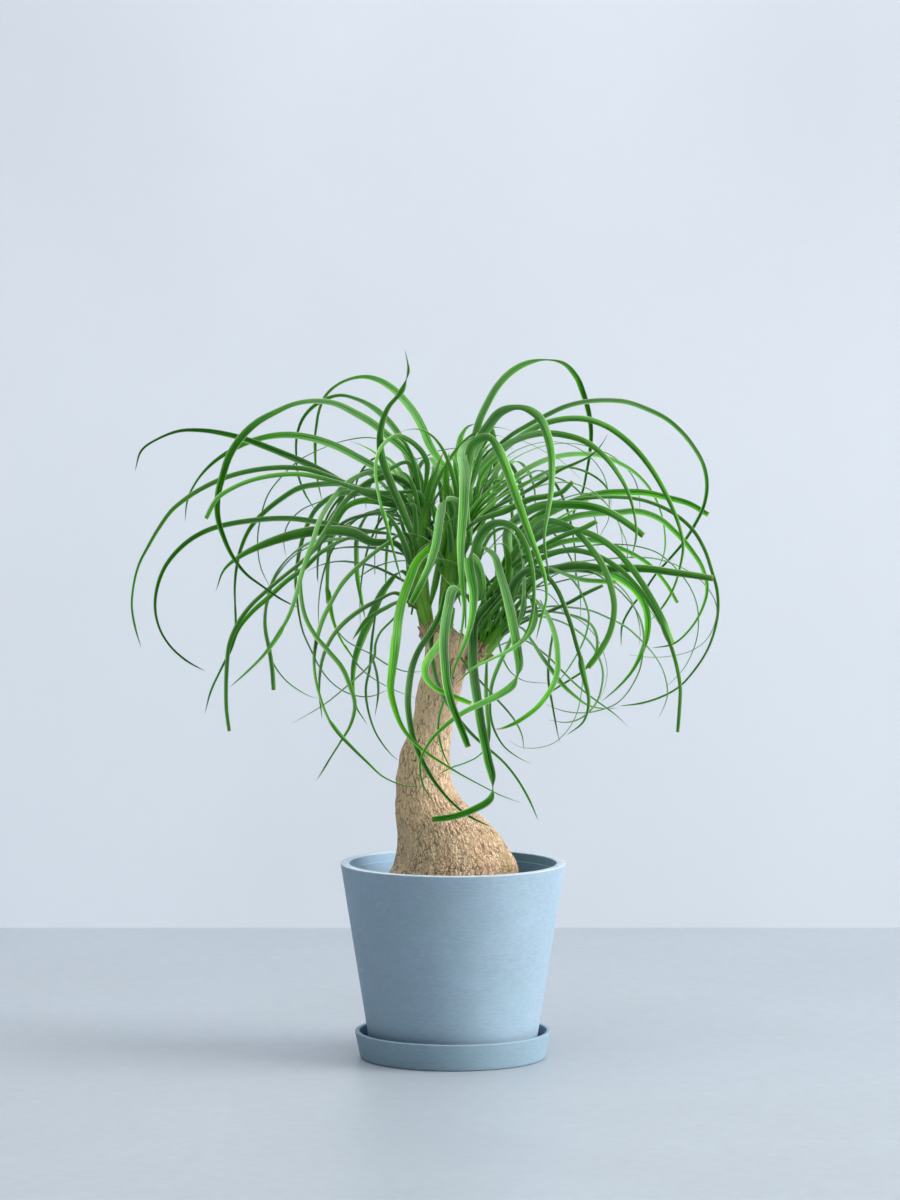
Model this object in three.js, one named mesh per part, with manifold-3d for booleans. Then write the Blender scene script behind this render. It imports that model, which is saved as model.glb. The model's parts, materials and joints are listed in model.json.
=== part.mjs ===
// A ponytail palm in a round tapered pot that stands on its saucer.
// Units are millimetres, +Z is up, +X is to the right of the front view and the front looks along +Y.
// The origin is on the axis of the pot, where the saucer rests on the ground.
//
// The plant is modelled from how it is seen from the front: each trunk edge and each leaf is a list of
// points, read by eye in a picture 900 wide and 1200 high, and sightPoint() carries such a point to its
// real place once its depth is known. A leaf's depth grows along the blade up to its own reach.

import * as THREE from 'three';
import * as BufferGeometryUtils from 'three/addons/utils/BufferGeometryUtils.js';
import Module from 'manifold-3d';

const wasm = await Module();
wasm.setup();

// ---------------------------------------------------------------- driving dimensions

const GAP = 0.3; // clearance kept between pieces that touch

const POT = {
  rimRadius: 100, // outside, at the lip
  footRadius: 73.2, // outside, where it stands on the saucer
  height: 169,
  wall: 8,
  floor: 7,
  lip: 2.2, // rounding of the rim
  footChamfer: 2,
  drainRadius: 9,
};

const SAUCER = {
  rimRadius: 87.5,
  footRadius: 82.5,
  height: 24,
  wall: 4.5,
  floor: 5,
  lip: 1.6,
  footChamfer: 2,
};

const SOIL = {
  belowRim: 28, // the surface lies this far under the rim
  moundHeight: 5, // it rises a little towards the trunk
};

const ROUND_STEPS = 60; // facets round the pot and the saucer

// ---------------------------------------------------------------- the front view

const VIEW = {
  eye: { x: -2.6, distance: 4415, height: 732 }, // where the picture is seen from
  pitch: THREE.MathUtils.degToRad(4.2), // how far the eye looks down
  focal: 5000, // focal length, in picture points
  centre: { across: 450, down: 600 },
};

/** The point seen at `across`, `down` in the picture, at `depth` behind the pot's axis. */
function sightPoint(across, down, depth) {
  const side = (across - VIEW.centre.across) / VIEW.focal;
  const rise = (VIEW.centre.down - down) / VIEW.focal;
  const forward = Math.cos(VIEW.pitch) + rise * Math.sin(VIEW.pitch);
  const upward = rise * Math.cos(VIEW.pitch) - Math.sin(VIEW.pitch);
  const travel = (depth + VIEW.eye.distance) / forward;
  return new THREE.Vector3(VIEW.eye.x + side * travel, depth, VIEW.eye.height + upward * travel);
}

const EYE = new THREE.Vector3(VIEW.eye.x, -VIEW.eye.distance, VIEW.eye.height);
const MM_PER_POINT = VIEW.eye.distance / VIEW.focal; // size of a picture point at the pot's axis

// ---------------------------------------------------------------- materials

const MATERIALS = {
  pot: new THREE.MeshStandardMaterial({ color: 0x9fb6c6, roughness: 0.75, metalness: 0 }),
  saucer: new THREE.MeshStandardMaterial({ color: 0x9fb6c6, roughness: 0.75, metalness: 0 }),
  soil: new THREE.MeshStandardMaterial({ color: 0x3a2a1e, roughness: 0.98, metalness: 0 }),
  trunk: new THREE.MeshStandardMaterial({ color: 0xb8997c, roughness: 0.9, metalness: 0 }),
  shoot: new THREE.MeshStandardMaterial({ color: 0x5f9a33, roughness: 0.55, metalness: 0 }),
  leaf: new THREE.MeshStandardMaterial({ color: 0x4c8a33, roughness: 0.5, metalness: 0 }),
};

// ---------------------------------------------------------------- the trunk and its shoots

// Left and right edge of the trunk at each height of the front view, from its top to the rim.
const TRUNK_OUTLINE = [
  { down: 640, left: 427, right: 468 },
  { down: 655, left: 425, right: 470 },
  { down: 673, left: 422, right: 466 },
  { down: 686, left: 418, right: 462 },
  { down: 700, left: 415.6, right: 458 },
  { down: 717, left: 414, right: 454 },
  { down: 730, left: 411.5, right: 452 },
  { down: 748, left: 402, right: 450 },
  { down: 768, left: 398, right: 451 },
  { down: 777, left: 396, right: 451 },
  { down: 788, left: 396.5, right: 455 },
  { down: 806, left: 395.4, right: 468 },
  { down: 817, left: 396, right: 482 },
  { down: 830, left: 397.5, right: 495 },
  { down: 849, left: 397, right: 508 },
  { down: 858, left: 396, right: 514.6 },
  { down: 866, left: 393, right: 518 },
  { down: 876, left: 388, right: 518 },
];
const TRUNK = {
  sides: 30,
  depthRatio: 0.92, // depth of the trunk against its width
  topDown: 631, // the rounded top, in the front view
  buriedRings: [
    // the swollen foot goes on under the soil and closes
    { height: 142, grow: 1.0 },
    { height: 128, grow: 0.95 },
    { height: 112, grow: 0.8 },
    { height: 99, grow: 0.55 },
  ],
  bottom: 93,
};

// Each shoot is a bundle of leaf sheaths on a short woody stub of the trunk.
const SHOOTS = {
  left: {
    stub: { from: [433, 655], to: [427, 633], depth: 0, radius: 10.5 },
    axis: [[427, 633], [420, 610], [416, 582], [417, 554], [421, 524], [426, 494]],
    depth: 4,
    baseRadius: 9.5,
    topRadius: 3.5,
  },
  middle: {
    stub: { from: [450, 650], to: [447, 620], depth: -4, radius: 10.5 },
    axis: [[447, 620], [449, 596], [453, 570], [457, 542], [461, 514], [465, 486]],
    depth: -6,
    baseRadius: 9.5,
    topRadius: 3.5,
  },
  right_upper: {
    stub: { from: [460, 662], to: [474, 643], depth: 8, radius: 7 },
    axis: [[474, 643], [484, 624], [494, 604], [501, 586]],
    depth: 10,
    baseRadius: 6,
    topRadius: 3.5,
  },
  right_lower: {
    stub: { from: [462, 668], to: [481, 656], depth: -8, radius: 7 },
    axis: [[481, 656], [493, 641], [504, 627], [514, 613]],
    depth: -9,
    baseRadius: 6,
    topRadius: 3.5,
  },
};

// ---------------------------------------------------------------- the leaves

// width: how wide the blade looks at its widest, in picture points
// reach: how far behind (+) or in front of (-) its shoot the blade's outer part lies
// cut: the tip was trimmed off square
// seen: the blade's middle line in the front view, from its base to its tip
const LEAVES = [
  // to the left
  {
    name: 'leaf_left_01', shoot: 'left', width: 8, reach: -105,
    seen: [[400, 474], [385, 476], [370, 485], [354, 495], [339, 512], [329, 528], [318, 545], [308, 562],
      [302, 580], [303, 597], [310, 624], [324, 643], [343, 666], [353, 691], [356, 708], [350, 728],
      [337, 748], [317, 780]],
  },
  {
    name: 'leaf_left_02', shoot: 'left', width: 9, reach: -90,
    seen: [[430, 468], [411, 464], [393, 471], [374, 474], [356, 479], [344, 489], [331, 505], [322, 521],
      [314, 544], [306, 565], [299, 592], [291, 614], [280, 633], [261, 658], [239, 679], [230, 687]],
  },
  {
    name: 'leaf_left_03', shoot: 'left', width: 5, reach: 20,
    seen: [[425, 520], [405, 507], [382, 500], [352, 488], [313, 467], [280, 453], [240, 438], [206, 431],
      [180, 431], [160, 438], [142, 450], [135, 471]],
  },
  {
    name: 'leaf_left_04', shoot: 'left', width: 6, reach: -50,
    seen: [[430, 495], [411, 460], [393, 442], [376, 427], [353, 413], [330, 403], [301, 403], [278, 412],
      [252, 428], [232, 453], [220, 490], [218, 506], [221, 528], [240, 567], [260, 584], [278, 597],
      [299, 608]],
  },
  {
    name: 'leaf_left_05', shoot: 'left', width: 7, reach: 30,
    seen: [[418, 503], [391, 478], [356, 458], [324, 443], [286, 436], [255, 441], [232, 451], [208, 468],
      [193, 488], [186, 507], [185, 521]],
  },
  {
    name: 'leaf_left_06', shoot: 'left', width: 4, reach: -20,
    seen: [[400, 500], [370, 494], [333, 479], [312, 471], [286, 468], [252, 471], [223, 479], [194, 494],
      [169, 514], [153, 539], [141, 560], [135, 580], [132, 601], [134, 621], [141, 647]],
  },
  {
    name: 'leaf_left_07', shoot: 'left', width: 8, reach: -70, cut: true,
    seen: [[400, 498], [370, 493], [330, 482], [307, 477], [286, 476], [262, 479], [238, 487], [217, 501],
      [207, 519]],
  },
  {
    name: 'leaf_left_08', shoot: 'left', width: 5, reach: 60,
    seen: [[385, 500], [360, 490], [340, 485], [318, 486], [295, 491], [275, 505], [255, 523], [242, 548],
      [237, 570], [235, 597], [236, 620], [234, 636], [229, 651]],
  },
  {
    name: 'leaf_left_09', shoot: 'middle', width: 7, reach: 170,
    seen: [[437, 480], [431, 449], [419, 422], [403, 400], [384, 384], [366, 378], [347, 381], [331, 391],
      [322, 405], [317, 426], [315, 455], [317, 478], [322, 501]],
  },
  {
    name: 'leaf_left_10', shoot: 'left', width: 6.5, reach: 150,
    seen: [[424, 490], [415, 466], [404, 445], [388, 422], [364, 403], [339, 396], [319, 404], [307, 415],
      [299, 431], [297, 455], [299, 479], [306, 496], [315, 510]],
  },
  {
    name: 'leaf_left_11', shoot: 'left', width: 6, reach: 110,
    seen: [[400, 490], [365, 491], [345, 494], [330, 499], [318, 509], [309, 525], [301, 550], [297, 575],
      [298, 598], [303, 630], [314, 655], [324, 673], [339, 688], [363, 697], [388, 690]],
  },
  {
    name: 'leaf_left_12', shoot: 'left', width: 7, reach: -40,
    seen: [[420, 560], [400, 505], [386, 471], [380, 448], [382, 422], [390, 404], [401, 391], [406, 380],
      [408, 371], [405, 350]],
  },
  {
    name: 'leaf_left_13', shoot: 'left', width: 6, reach: -110,
    seen: [[436, 490], [425, 457], [408, 441], [399, 437], [384, 446], [377, 466], [380, 495], [387, 526],
      [395, 557], [402, 583]],
  },
  {
    name: 'leaf_left_14', shoot: 'left', width: 8, reach: 150,
    seen: [[400, 505], [370, 502], [355, 505], [346, 510], [340, 520], [332, 545], [329, 575], [329, 597],
      [333, 620], [341, 640], [354, 660]],
  },
  {
    name: 'leaf_left_15', shoot: 'left', width: 8, reach: -60,
    seen: [[420, 560], [395, 552], [370, 543], [355, 535], [340, 532], [317, 532], [301, 534], [269, 543],
      [240, 557], [222, 573], [216, 591]],
  },
  {
    name: 'leaf_left_16', shoot: 'left', width: 4, reach: -10,
    seen: [[420, 560], [390, 545], [355, 530], [318, 523], [287, 519], [252, 521], [223, 526], [200, 534],
      [179, 550], [165, 568], [157, 590], [156, 615], [163, 635], [179, 655], [205, 671]],
  },
  {
    name: 'leaf_left_17', shoot: 'left', width: 6, reach: -60, cut: true,
    seen: [[400, 515], [385, 514], [370, 515], [347, 522], [329, 536], [313, 554], [286, 576], [255, 603],
      [241, 621], [231, 643], [228, 666], [227, 690], [228, 719], [230, 731]],
  },
  {
    name: 'leaf_left_18', shoot: 'left', width: 5, reach: -20,
    seen: [[400, 540], [365, 535], [340, 543], [320, 555], [305, 569], [286, 583], [263, 604], [247, 618],
      [238, 631], [229, 655], [221, 670], [212, 689], [205, 713]],
  },
  {
    name: 'leaf_left_19', shoot: 'left', width: 6.5, reach: -80,
    seen: [[425, 600], [405, 597], [392, 597], [374, 604], [351, 619], [335, 635], [323, 660], [320, 680],
      [320, 700], [322, 718]],
  },
  {
    name: 'leaf_left_20', shoot: 'left', width: 9.5, reach: -140,
    seen: [[430, 545], [411, 541], [393, 545], [377, 553], [361, 567], [346, 582], [333, 603], [323, 625],
      [317, 648], [315, 665], [318, 684], [326, 711], [341, 736], [359, 754], [385, 778], [407, 786],
      [424, 787]],
  },
  {
    name: 'leaf_left_21', shoot: 'left', width: 7, reach: 120,
    seen: [[420, 585], [398, 582], [385, 590], [377, 605], [368, 625], [360, 645], [355, 661], [353, 679],
      [355, 702], [361, 717], [367, 724]],
  },

  // in front
  {
    name: 'leaf_front_01', shoot: 'middle', width: 8, reach: -150,
    seen: [[462, 560], [463, 520], [466, 480], [470, 455], [475, 443], [482, 437], [490, 440], [498, 450],
      [505, 464], [511, 480], [516, 495], [522, 512], [528, 530], [534, 545], [540, 562], [545, 578],
      [547, 592], [545, 606], [541, 620], [536, 640]],
  },
  {
    name: 'leaf_front_02', shoot: 'left', width: 9, reach: -150,
    seen: [[436, 562], [435, 548], [426, 547], [413, 558], [406, 577], [401, 600], [397, 625], [395, 650],
      [392, 675], [391, 690], [394, 704], [397, 715], [403, 728], [412, 740], [424, 751], [438, 760],
      [455, 771], [475, 782], [500, 795], [521, 803]],
  },
  {
    name: 'leaf_front_03', shoot: 'middle', width: 9, reach: -125,
    seen: [[476, 500], [474, 470], [478, 448], [480, 438], [474, 436], [466, 445], [461, 456], [464, 466],
      [465, 480], [464, 500], [463, 520], [461, 540], [461, 560], [462, 585], [464, 605], [463, 620],
      [460, 640], [458, 650]],
  },
  {
    name: 'leaf_front_04', shoot: 'middle', width: 8, reach: -100, cut: true,
    seen: [[455, 540], [459, 510], [456, 498], [449, 498], [443, 507], [440, 520], [437, 540], [433, 556],
      [427, 572], [419, 588], [411, 604]],
  },
  {
    name: 'leaf_front_05', shoot: 'right_upper', width: 8.5, reach: -160,
    seen: [[480, 610], [472, 575], [474, 556], [480, 547], [488, 547], [494, 560], [500, 577], [506, 597],
      [511, 618], [515, 640], [518, 658], [518, 673], [512, 686], [500, 695], [484, 703], [467, 711],
      [452, 721], [440, 731], [430, 742], [423, 754], [420, 767], [422, 781], [428, 793], [434, 803]],
  },
  {
    name: 'leaf_front_06', shoot: 'middle', width: 8, reach: -100,
    seen: [[470, 600], [473, 565], [479, 542], [486, 532], [494, 525], [502, 524], [511, 528], [519, 537],
      [525, 550], [529, 565], [532, 582], [533, 598], [532, 613], [529, 627], [524, 639], [519, 645]],
  },
  {
    name: 'leaf_front_07', shoot: 'middle', width: 9, reach: -140,
    seen: [[478, 640], [481, 600], [478, 565], [471, 557], [469, 566], [472, 580], [474, 597], [472, 615],
      [468, 634], [462, 650], [456, 664], [451, 678], [450, 688]],
  },
  {
    name: 'leaf_front_08', shoot: 'middle', width: 8.5, reach: -165, cut: true,
    seen: [[448, 640], [458, 610], [462, 592], [458, 584], [452, 592], [448, 608], [445, 626], [444, 645],
      [445, 665], [447, 685], [451, 702], [457, 718], [463, 733], [468, 747]],
  },
  {
    name: 'leaf_front_09', shoot: 'right_upper', width: 8.5, reach: -175, cut: true,
    seen: [[476, 600], [484, 585], [482, 600], [476, 620], [473, 645], [473, 665], [475, 685], [478, 705],
      [481, 725], [485, 745], [489, 765], [493, 783], [494, 792], [489, 800], [478, 807], [464, 813],
      [449, 817], [432, 819]],
  },
  {
    name: 'leaf_front_10', shoot: 'middle', width: 4, reach: -130,
    seen: [[448, 600], [441, 612], [434, 628], [431, 645], [433, 664], [437, 682], [446, 702], [458, 719], [470, 733], [483, 745], [498, 757],
      [511, 771], [522, 787], [531, 804], [538, 820]],
  },
  {
    name: 'leaf_front_11', shoot: 'middle', width: 7, reach: -140, cut: true,
    seen: [[452, 612], [447, 632], [437, 648], [428, 660], [424, 672], [429, 683], [439, 691], [453, 697],
      [471, 704]],
  },
  {
    name: 'leaf_front_12', shoot: 'middle', width: 6, reach: -150,
    seen: [[455, 600], [448, 612], [437, 624], [427, 638], [418, 654], [412, 670], [409, 687], [408, 704],
      [410, 722], [414, 740], [420, 756], [427, 770], [436, 784], [447, 797], [460, 810], [474, 819],
      [492, 827]],
  },
  {
    name: 'leaf_front_13', shoot: 'right_lower', width: 5, reach: -110,
    seen: [[500, 590], [525, 590], [535, 610], [532, 630], [522, 642], [509, 651], [495, 658], [480, 665],
      [467, 673], [455, 685]],
  },

  // to the right
  {
    name: 'leaf_right_01', shoot: 'middle', width: 5, reach: 120,
    seen: [[462, 540], [467, 490], [471, 458], [480, 420], [486, 407], [494, 392], [505, 378], [520, 367],
      [535, 361], [548, 360], [560, 362], [570, 369], [577, 379], [582, 390], [586, 401], [589, 413],
      [591, 425], [591, 440], [589, 460], [585, 480], [581, 497], [574, 512], [567, 530]],
  },
  {
    name: 'leaf_right_02', shoot: 'middle', width: 9, reach: -130,
    seen: [[458, 560], [465, 500], [471, 460], [477, 446], [484, 434], [492, 422], [502, 412], [512, 408],
      [520, 408], [530, 411], [540, 420], [547, 434], [551, 450], [552, 468], [552, 486], [549, 505],
      [546, 525], [544, 545], [547, 562], [550, 580]],
  },
  {
    name: 'leaf_right_03', shoot: 'middle', width: 5.5, reach: -60,
    seen: [[466, 520], [469, 495], [474, 478], [484, 465], [497, 453], [512, 443], [528, 437], [545, 434],
      [560, 435], [575, 438], [588, 444], [600, 453], [611, 465], [620, 478], [627, 491], [632, 505],
      [635, 520], [636, 535], [635, 547], [631, 559]],
  },
  {
    name: 'leaf_right_04', shoot: 'middle', width: 4, reach: 40,
    seen: [[470, 510], [478, 480], [490, 457], [505, 441], [520, 431], [537, 421], [555, 412], [572, 405],
      [590, 402], [610, 401], [628, 403], [645, 409], [660, 416], [674, 426], [686, 438], [695, 450],
      [702, 463], [706, 478], [706, 490], [704, 503], [699, 516], [691, 530], [681, 545], [670, 558],
      [658, 571], [648, 585], [640, 597], [632, 606], [625, 617], [621, 630], [621, 646]],
  },
  {
    name: 'leaf_right_05', shoot: 'middle', width: 4.5, reach: -30,
    seen: [[470, 520], [480, 480], [492, 462], [506, 448], [522, 436], [538, 427], [553, 421], [570, 419],
      [588, 420], [603, 425], [618, 434], [631, 445], [643, 458], [653, 472], [662, 487], [670, 503],
      [677, 520], [682, 537], [683, 552], [680, 567], [676, 582], [670, 595], [661, 609], [650, 621]],
  },
  {
    name: 'leaf_right_06', shoot: 'middle', width: 4, reach: 100,
    seen: [[466, 530], [475, 515], [490, 499], [506, 485], [519, 475], [533, 466], [548, 460], [565, 456],
      [582, 455], [598, 456], [612, 461], [626, 467], [639, 477], [650, 490], [657, 503], [661, 516],
      [664, 530], [665, 545], [662, 558], [658, 570]],
  },
  {
    name: 'leaf_right_07', shoot: 'middle', width: 5, reach: -20, cut: true,
    seen: [[472, 535], [505, 512], [530, 500], [546, 497], [558, 495], [566, 489], [573, 482]],
  },
  {
    name: 'leaf_right_08', shoot: 'right_upper', width: 7, reach: -40, cut: true,
    seen: [[495, 560], [510, 530], [530, 512], [548, 506], [560, 506], [575, 506], [590, 507], [603, 511],
      [613, 515], [625, 523], [637, 531], [643, 536]],
  },
  {
    name: 'leaf_right_09', shoot: 'right_upper', width: 6, reach: 20, cut: true,
    seen: [[498, 590], [510, 552], [530, 528], [553, 512], [570, 504], [587, 498], [605, 494], [622, 493],
      [640, 493], [655, 495], [670, 499], [686, 503], [699, 509], [708, 515]],
  },
  {
    name: 'leaf_right_10', shoot: 'right_upper', width: 4.5, reach: 30,
    seen: [[498, 580], [520, 530], [560, 505], [590, 499], [615, 498], [638, 500], [655, 505], [670, 512],
      [684, 522], [696, 535], [704, 550], [709, 564], [713, 577], [717, 592], [718, 606], [716, 622],
      [712, 638], [705, 654], [695, 669], [681, 685], [667, 694], [652, 700], [636, 704], [619, 706]],
  },
  {
    name: 'leaf_right_11', shoot: 'right_upper', width: 4.5, reach: 0,
    seen: [[500, 585], [530, 545], [575, 517], [610, 514], [632, 512], [648, 514], [664, 523], [679, 537],
      [692, 552], [701, 566], [706, 580], [706, 595], [702, 608], [697, 618], [688, 631], [677, 641],
      [666, 647], [652, 648]],
  },
  {
    name: 'leaf_right_12', shoot: 'right_lower', width: 6.5, reach: -50, cut: true,
    seen: [[505, 620], [525, 588], [545, 575], [575, 568], [605, 570], [630, 569], [650, 570], [672, 573],
      [694, 576], [713, 579]],
  },
  {
    name: 'leaf_right_13', shoot: 'right_upper', width: 7.5, reach: -115, cut: true,
    seen: [[500, 600], [511, 565], [528, 540], [548, 524], [562, 526], [576, 535], [588, 549], [598, 563],
      [605, 578], [610, 594], [612, 608], [611, 623], [607, 636], [602, 646], [595, 656], [587, 667]],
  },
  {
    name: 'leaf_right_14', shoot: 'right_upper', width: 7.5, reach: -90, cut: true,
    seen: [[500, 600], [522, 556], [545, 536], [565, 531], [583, 534], [600, 542], [615, 553], [628, 567],
      [639, 582], [648, 596], [657, 612], [665, 628], [672, 643]],
  },
  {
    name: 'leaf_right_15', shoot: 'right_upper', width: 5, reach: 0, cut: true,
    seen: [[500, 590], [525, 562], [555, 545], [580, 540], [600, 543], [620, 549], [637, 557], [651, 567],
      [662, 579], [670, 591], [677, 603]],
  },
  {
    name: 'leaf_right_16', shoot: 'right_lower', width: 6.5, reach: -80,
    seen: [[505, 625], [530, 582], [560, 570], [600, 572], [622, 580], [636, 592], [644, 606], [647, 622],
      [646, 637], [641, 653], [633, 669], [622, 683], [611, 693], [602, 701]],
  },
  {
    name: 'leaf_right_17', shoot: 'right_lower', width: 6, reach: -70, cut: true,
    seen: [[505, 620], [525, 572], [560, 552], [595, 556], [622, 573], [643, 596], [657, 617], [666, 636],
      [672, 652], [676, 668], [679, 685], [679, 702], [678, 718], [677, 732]],
  },
  {
    name: 'leaf_right_18', shoot: 'right_lower', width: 8, reach: -130,
    seen: [[498, 630], [512, 590], [530, 572], [545, 578], [556, 592], [563, 608], [569, 624], [574, 641],
      [579, 658], [584, 676], [588, 694], [589, 707], [585, 719], [578, 729], [567, 735]],
  },
];

const BLADE = {
  ringStep: 18, // distance between sections along a leaf
  fewestRings: 9,
  thickness: 0.9,
  channel: 0.16, // depth of the channel against the blade's width
  narrowest: 2.2, // width of the drawn-out tips
  widest: 9.5, // a blade that looks wider than this is turned to the viewer, not widened
  baseWidth: 4.5, // where it leaves the shoot
  fullWidthAt: 0.14, // part of the length over which it widens
  taperFrom: 0.42, // part of the length from which it narrows
  cutWidth: 0.8, // width of a trimmed tip, against the widest
  cutTip: 1.2, // length over which a trimmed tip closes
  rollSteps: [0.35, 0.6, 0.9, 1.3, 1.9, 2.8], // how far the blade is turned to the viewer
  bendPull: 4, // how strongly a blade lies flat in its own bends
  turnShare: 0.4, // how fast it turns from section to section
  offShoot: 1.3, // its middle line starts this far off the shoot's surface ...
  sheathOut: 5, // ... and first runs up along the shoot ...
  sheathUp: 11,
  clearOfBase: 24, // ... before it follows the points seen, from this far on
  aimsAt: 0.6, // the base looks towards this part of the points seen
  leanKept: 1.3, // how much of the base's offset the next points keep ...
  leanOver: 0.3, // ... and the part of the length over which it fades
};

// Where leaves would pass through each other, the later one is moved by these steps until it is clear.
const CLEARING = {
  reachSteps: [0, 7, -7, 14, -14, 21, -21, 28, -28, 36, -36, 44, -44, 54, -54, 66, -66, 80, -80],
  slideSteps: [0, 0.05, -0.05, 0.1, -0.1, 0.15, -0.15, 0.2, -0.2, 0.27, -0.27, 0.35, -0.35], // along the shoot
  turnSteps: [0, 0.5, -0.5, 1.0, -1.0, 1.6, -1.6, 2.3, -2.3, 3.1], // radians round the shoot
  margin: 0.35, // room asked for round the blade
};

// ---------------------------------------------------------------- solids

/** A closed geometry of only positions, with shared corners, as the boolean library needs it. */
function weld(geometry) {
  const bare = geometry.clone();
  bare.deleteAttribute('normal');
  bare.deleteAttribute('uv');
  return BufferGeometryUtils.mergeVertices(bare, 1e-4);
}

/** A three.js geometry as a solid of the boolean library. */
function toSolid(geometry) {
  const welded = weld(geometry);
  return new wasm.Manifold(new wasm.Mesh({
    numProp: 3,
    vertProperties: new Float32Array(welded.attributes.position.array),
    triVerts: new Uint32Array(welded.index.array),
  }));
}

/** A solid of the boolean library as a three.js geometry. */
function toGeometry(solid) {
  const mesh = solid.getMesh();
  const geometry = new THREE.BufferGeometry();
  geometry.setAttribute('position', new THREE.BufferAttribute(new Float32Array(mesh.vertProperties), 3));
  geometry.setIndex(new THREE.BufferAttribute(new Uint32Array(mesh.triVerts), 1));
  geometry.computeVertexNormals();
  return geometry;
}

/**
 * A skin over rings of equally many points, closed by one point at either end. The fold lines go to and
 * fro round a ring, so that the two faces of a thin twisted strap fold alike and don't cross.
 */
function skin(first, rings, last) {
  const sides = rings[0].length;
  const points = [first, ...rings.flat(), last];
  const end = points.length - 1;
  const corner = (ring, side) => 1 + ring * sides + (side % sides);
  const faces = [];
  for (let side = 0; side < sides; side += 1) {
    faces.push(0, corner(0, side + 1), corner(0, side));
    faces.push(end, corner(rings.length - 1, side), corner(rings.length - 1, side + 1));
    for (let ring = 0; ring < rings.length - 1; ring += 1) {
      const [a, b] = [corner(ring, side), corner(ring, side + 1)];
      const [c, d] = [corner(ring + 1, side), corner(ring + 1, side + 1)];
      faces.push(...(side % 2 === 0 ? [a, b, d, a, d, c] : [a, b, c, b, d, c]));
    }
  }
  const geometry = new THREE.BufferGeometry();
  const coordinates = points.flatMap((point) => [point.x, point.y, point.z]);
  geometry.setAttribute('position', new THREE.Float32BufferAttribute(coordinates, 3));
  geometry.setIndex(faces);
  geometry.computeVertexNormals();
  return geometry;
}

/** A profile of [radius, height] points turned round the pot's axis. */
function turned(profile, steps) {
  const outline = profile.map(([radius, height]) => new THREE.Vector2(radius, height));
  return new THREE.LatheGeometry(outline, steps).rotateX(Math.PI / 2);
}

/** Points on a quarter round of a turned profile, from one angle to another, in degrees. */
function roundCorner(radius, height, size, from, to, steps = 4) {
  const points = [];
  for (let step = 0; step <= steps; step += 1) {
    const angle = THREE.MathUtils.degToRad(from + ((to - from) * step) / steps);
    points.push([radius + size * Math.cos(angle), height + size * Math.sin(angle)]);
  }
  return points;
}

// ---------------------------------------------------------------- pot, saucer and soil

const POT_FOOT = SAUCER.floor;
const RIM_HEIGHT = POT_FOOT + POT.height;
const SOIL_TOP = RIM_HEIGHT - SOIL.belowRim;

/** Inner radius of the pot at a height above the ground. */
function potInnerRadius(height) {
  const share = (height - POT_FOOT) / POT.height;
  return THREE.MathUtils.lerp(POT.footRadius, POT.rimRadius, share) - POT.wall;
}

/** A tapered vessel with a flat floor, a rounded lip and, where `drain` is over 0, a hole in its floor. */
function vesselProfile(size, bottom, drain) {
  const top = bottom + size.height;
  const innerFoot = size.footRadius - size.wall
    + ((size.rimRadius - size.footRadius) * size.floor) / size.height;
  const outerLip = roundCorner(size.rimRadius - size.lip, top - size.lip, size.lip, 0, 90);
  const innerLip = roundCorner(size.rimRadius - size.wall + size.lip, top - size.lip, size.lip, 90, 180);
  return [
    [drain, bottom],
    [size.footRadius - size.footChamfer, bottom],
    [size.footRadius, bottom + size.footChamfer],
    ...outerLip,
    ...innerLip,
    [innerFoot + size.footChamfer / 2, bottom + size.floor + size.footChamfer],
    [innerFoot - size.footChamfer, bottom + size.floor],
    [drain, bottom + size.floor],
  ];
}

function makePot() {
  const profile = vesselProfile(POT, POT_FOOT, POT.drainRadius);
  return turned([...profile, profile[0]], ROUND_STEPS);
}

function makeSaucer() {
  return turned(vesselProfile(SAUCER, 0, 0), ROUND_STEPS);
}

/** The soil fills the pot and has the trunk's foot in it. */
function makeSoil(trunk) {
  const bottom = POT_FOOT + POT.floor;
  const bottomRadius = potInnerRadius(bottom) - POT.footChamfer - GAP;
  const profile = [
    [0, bottom],
    [bottomRadius - POT.footChamfer, bottom],
    [potInnerRadius(bottom + 3 * POT.footChamfer) - 2 * GAP, bottom + 3 * POT.footChamfer],
    [potInnerRadius(SOIL_TOP) - 2 * GAP, SOIL_TOP],
    [potInnerRadius(SOIL_TOP) * 0.8, SOIL_TOP + SOIL.moundHeight * 0.6],
    [0, SOIL_TOP + SOIL.moundHeight],
  ];
  const block = toSolid(turned(profile, ROUND_STEPS));
  const room = toSolid(trunkBody(GAP));
  return toGeometry(block.subtract(room));
}

// ---------------------------------------------------------------- trunk and shoots

/** A ring of the trunk: an ellipse between a left and a right edge. */
function trunkRing(left, right, height, grow) {
  const middle = (left + right) / 2;
  const half = (right - left) / 2 + grow;
  const ring = [];
  for (let side = 0; side < TRUNK.sides; side += 1) {
    const angle = (side / TRUNK.sides) * 2 * Math.PI;
    const across = middle + half * Math.cos(angle);
    ring.push(new THREE.Vector3(across, half * TRUNK.depthRatio * Math.sin(angle), height));
  }
  return ring;
}

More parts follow.
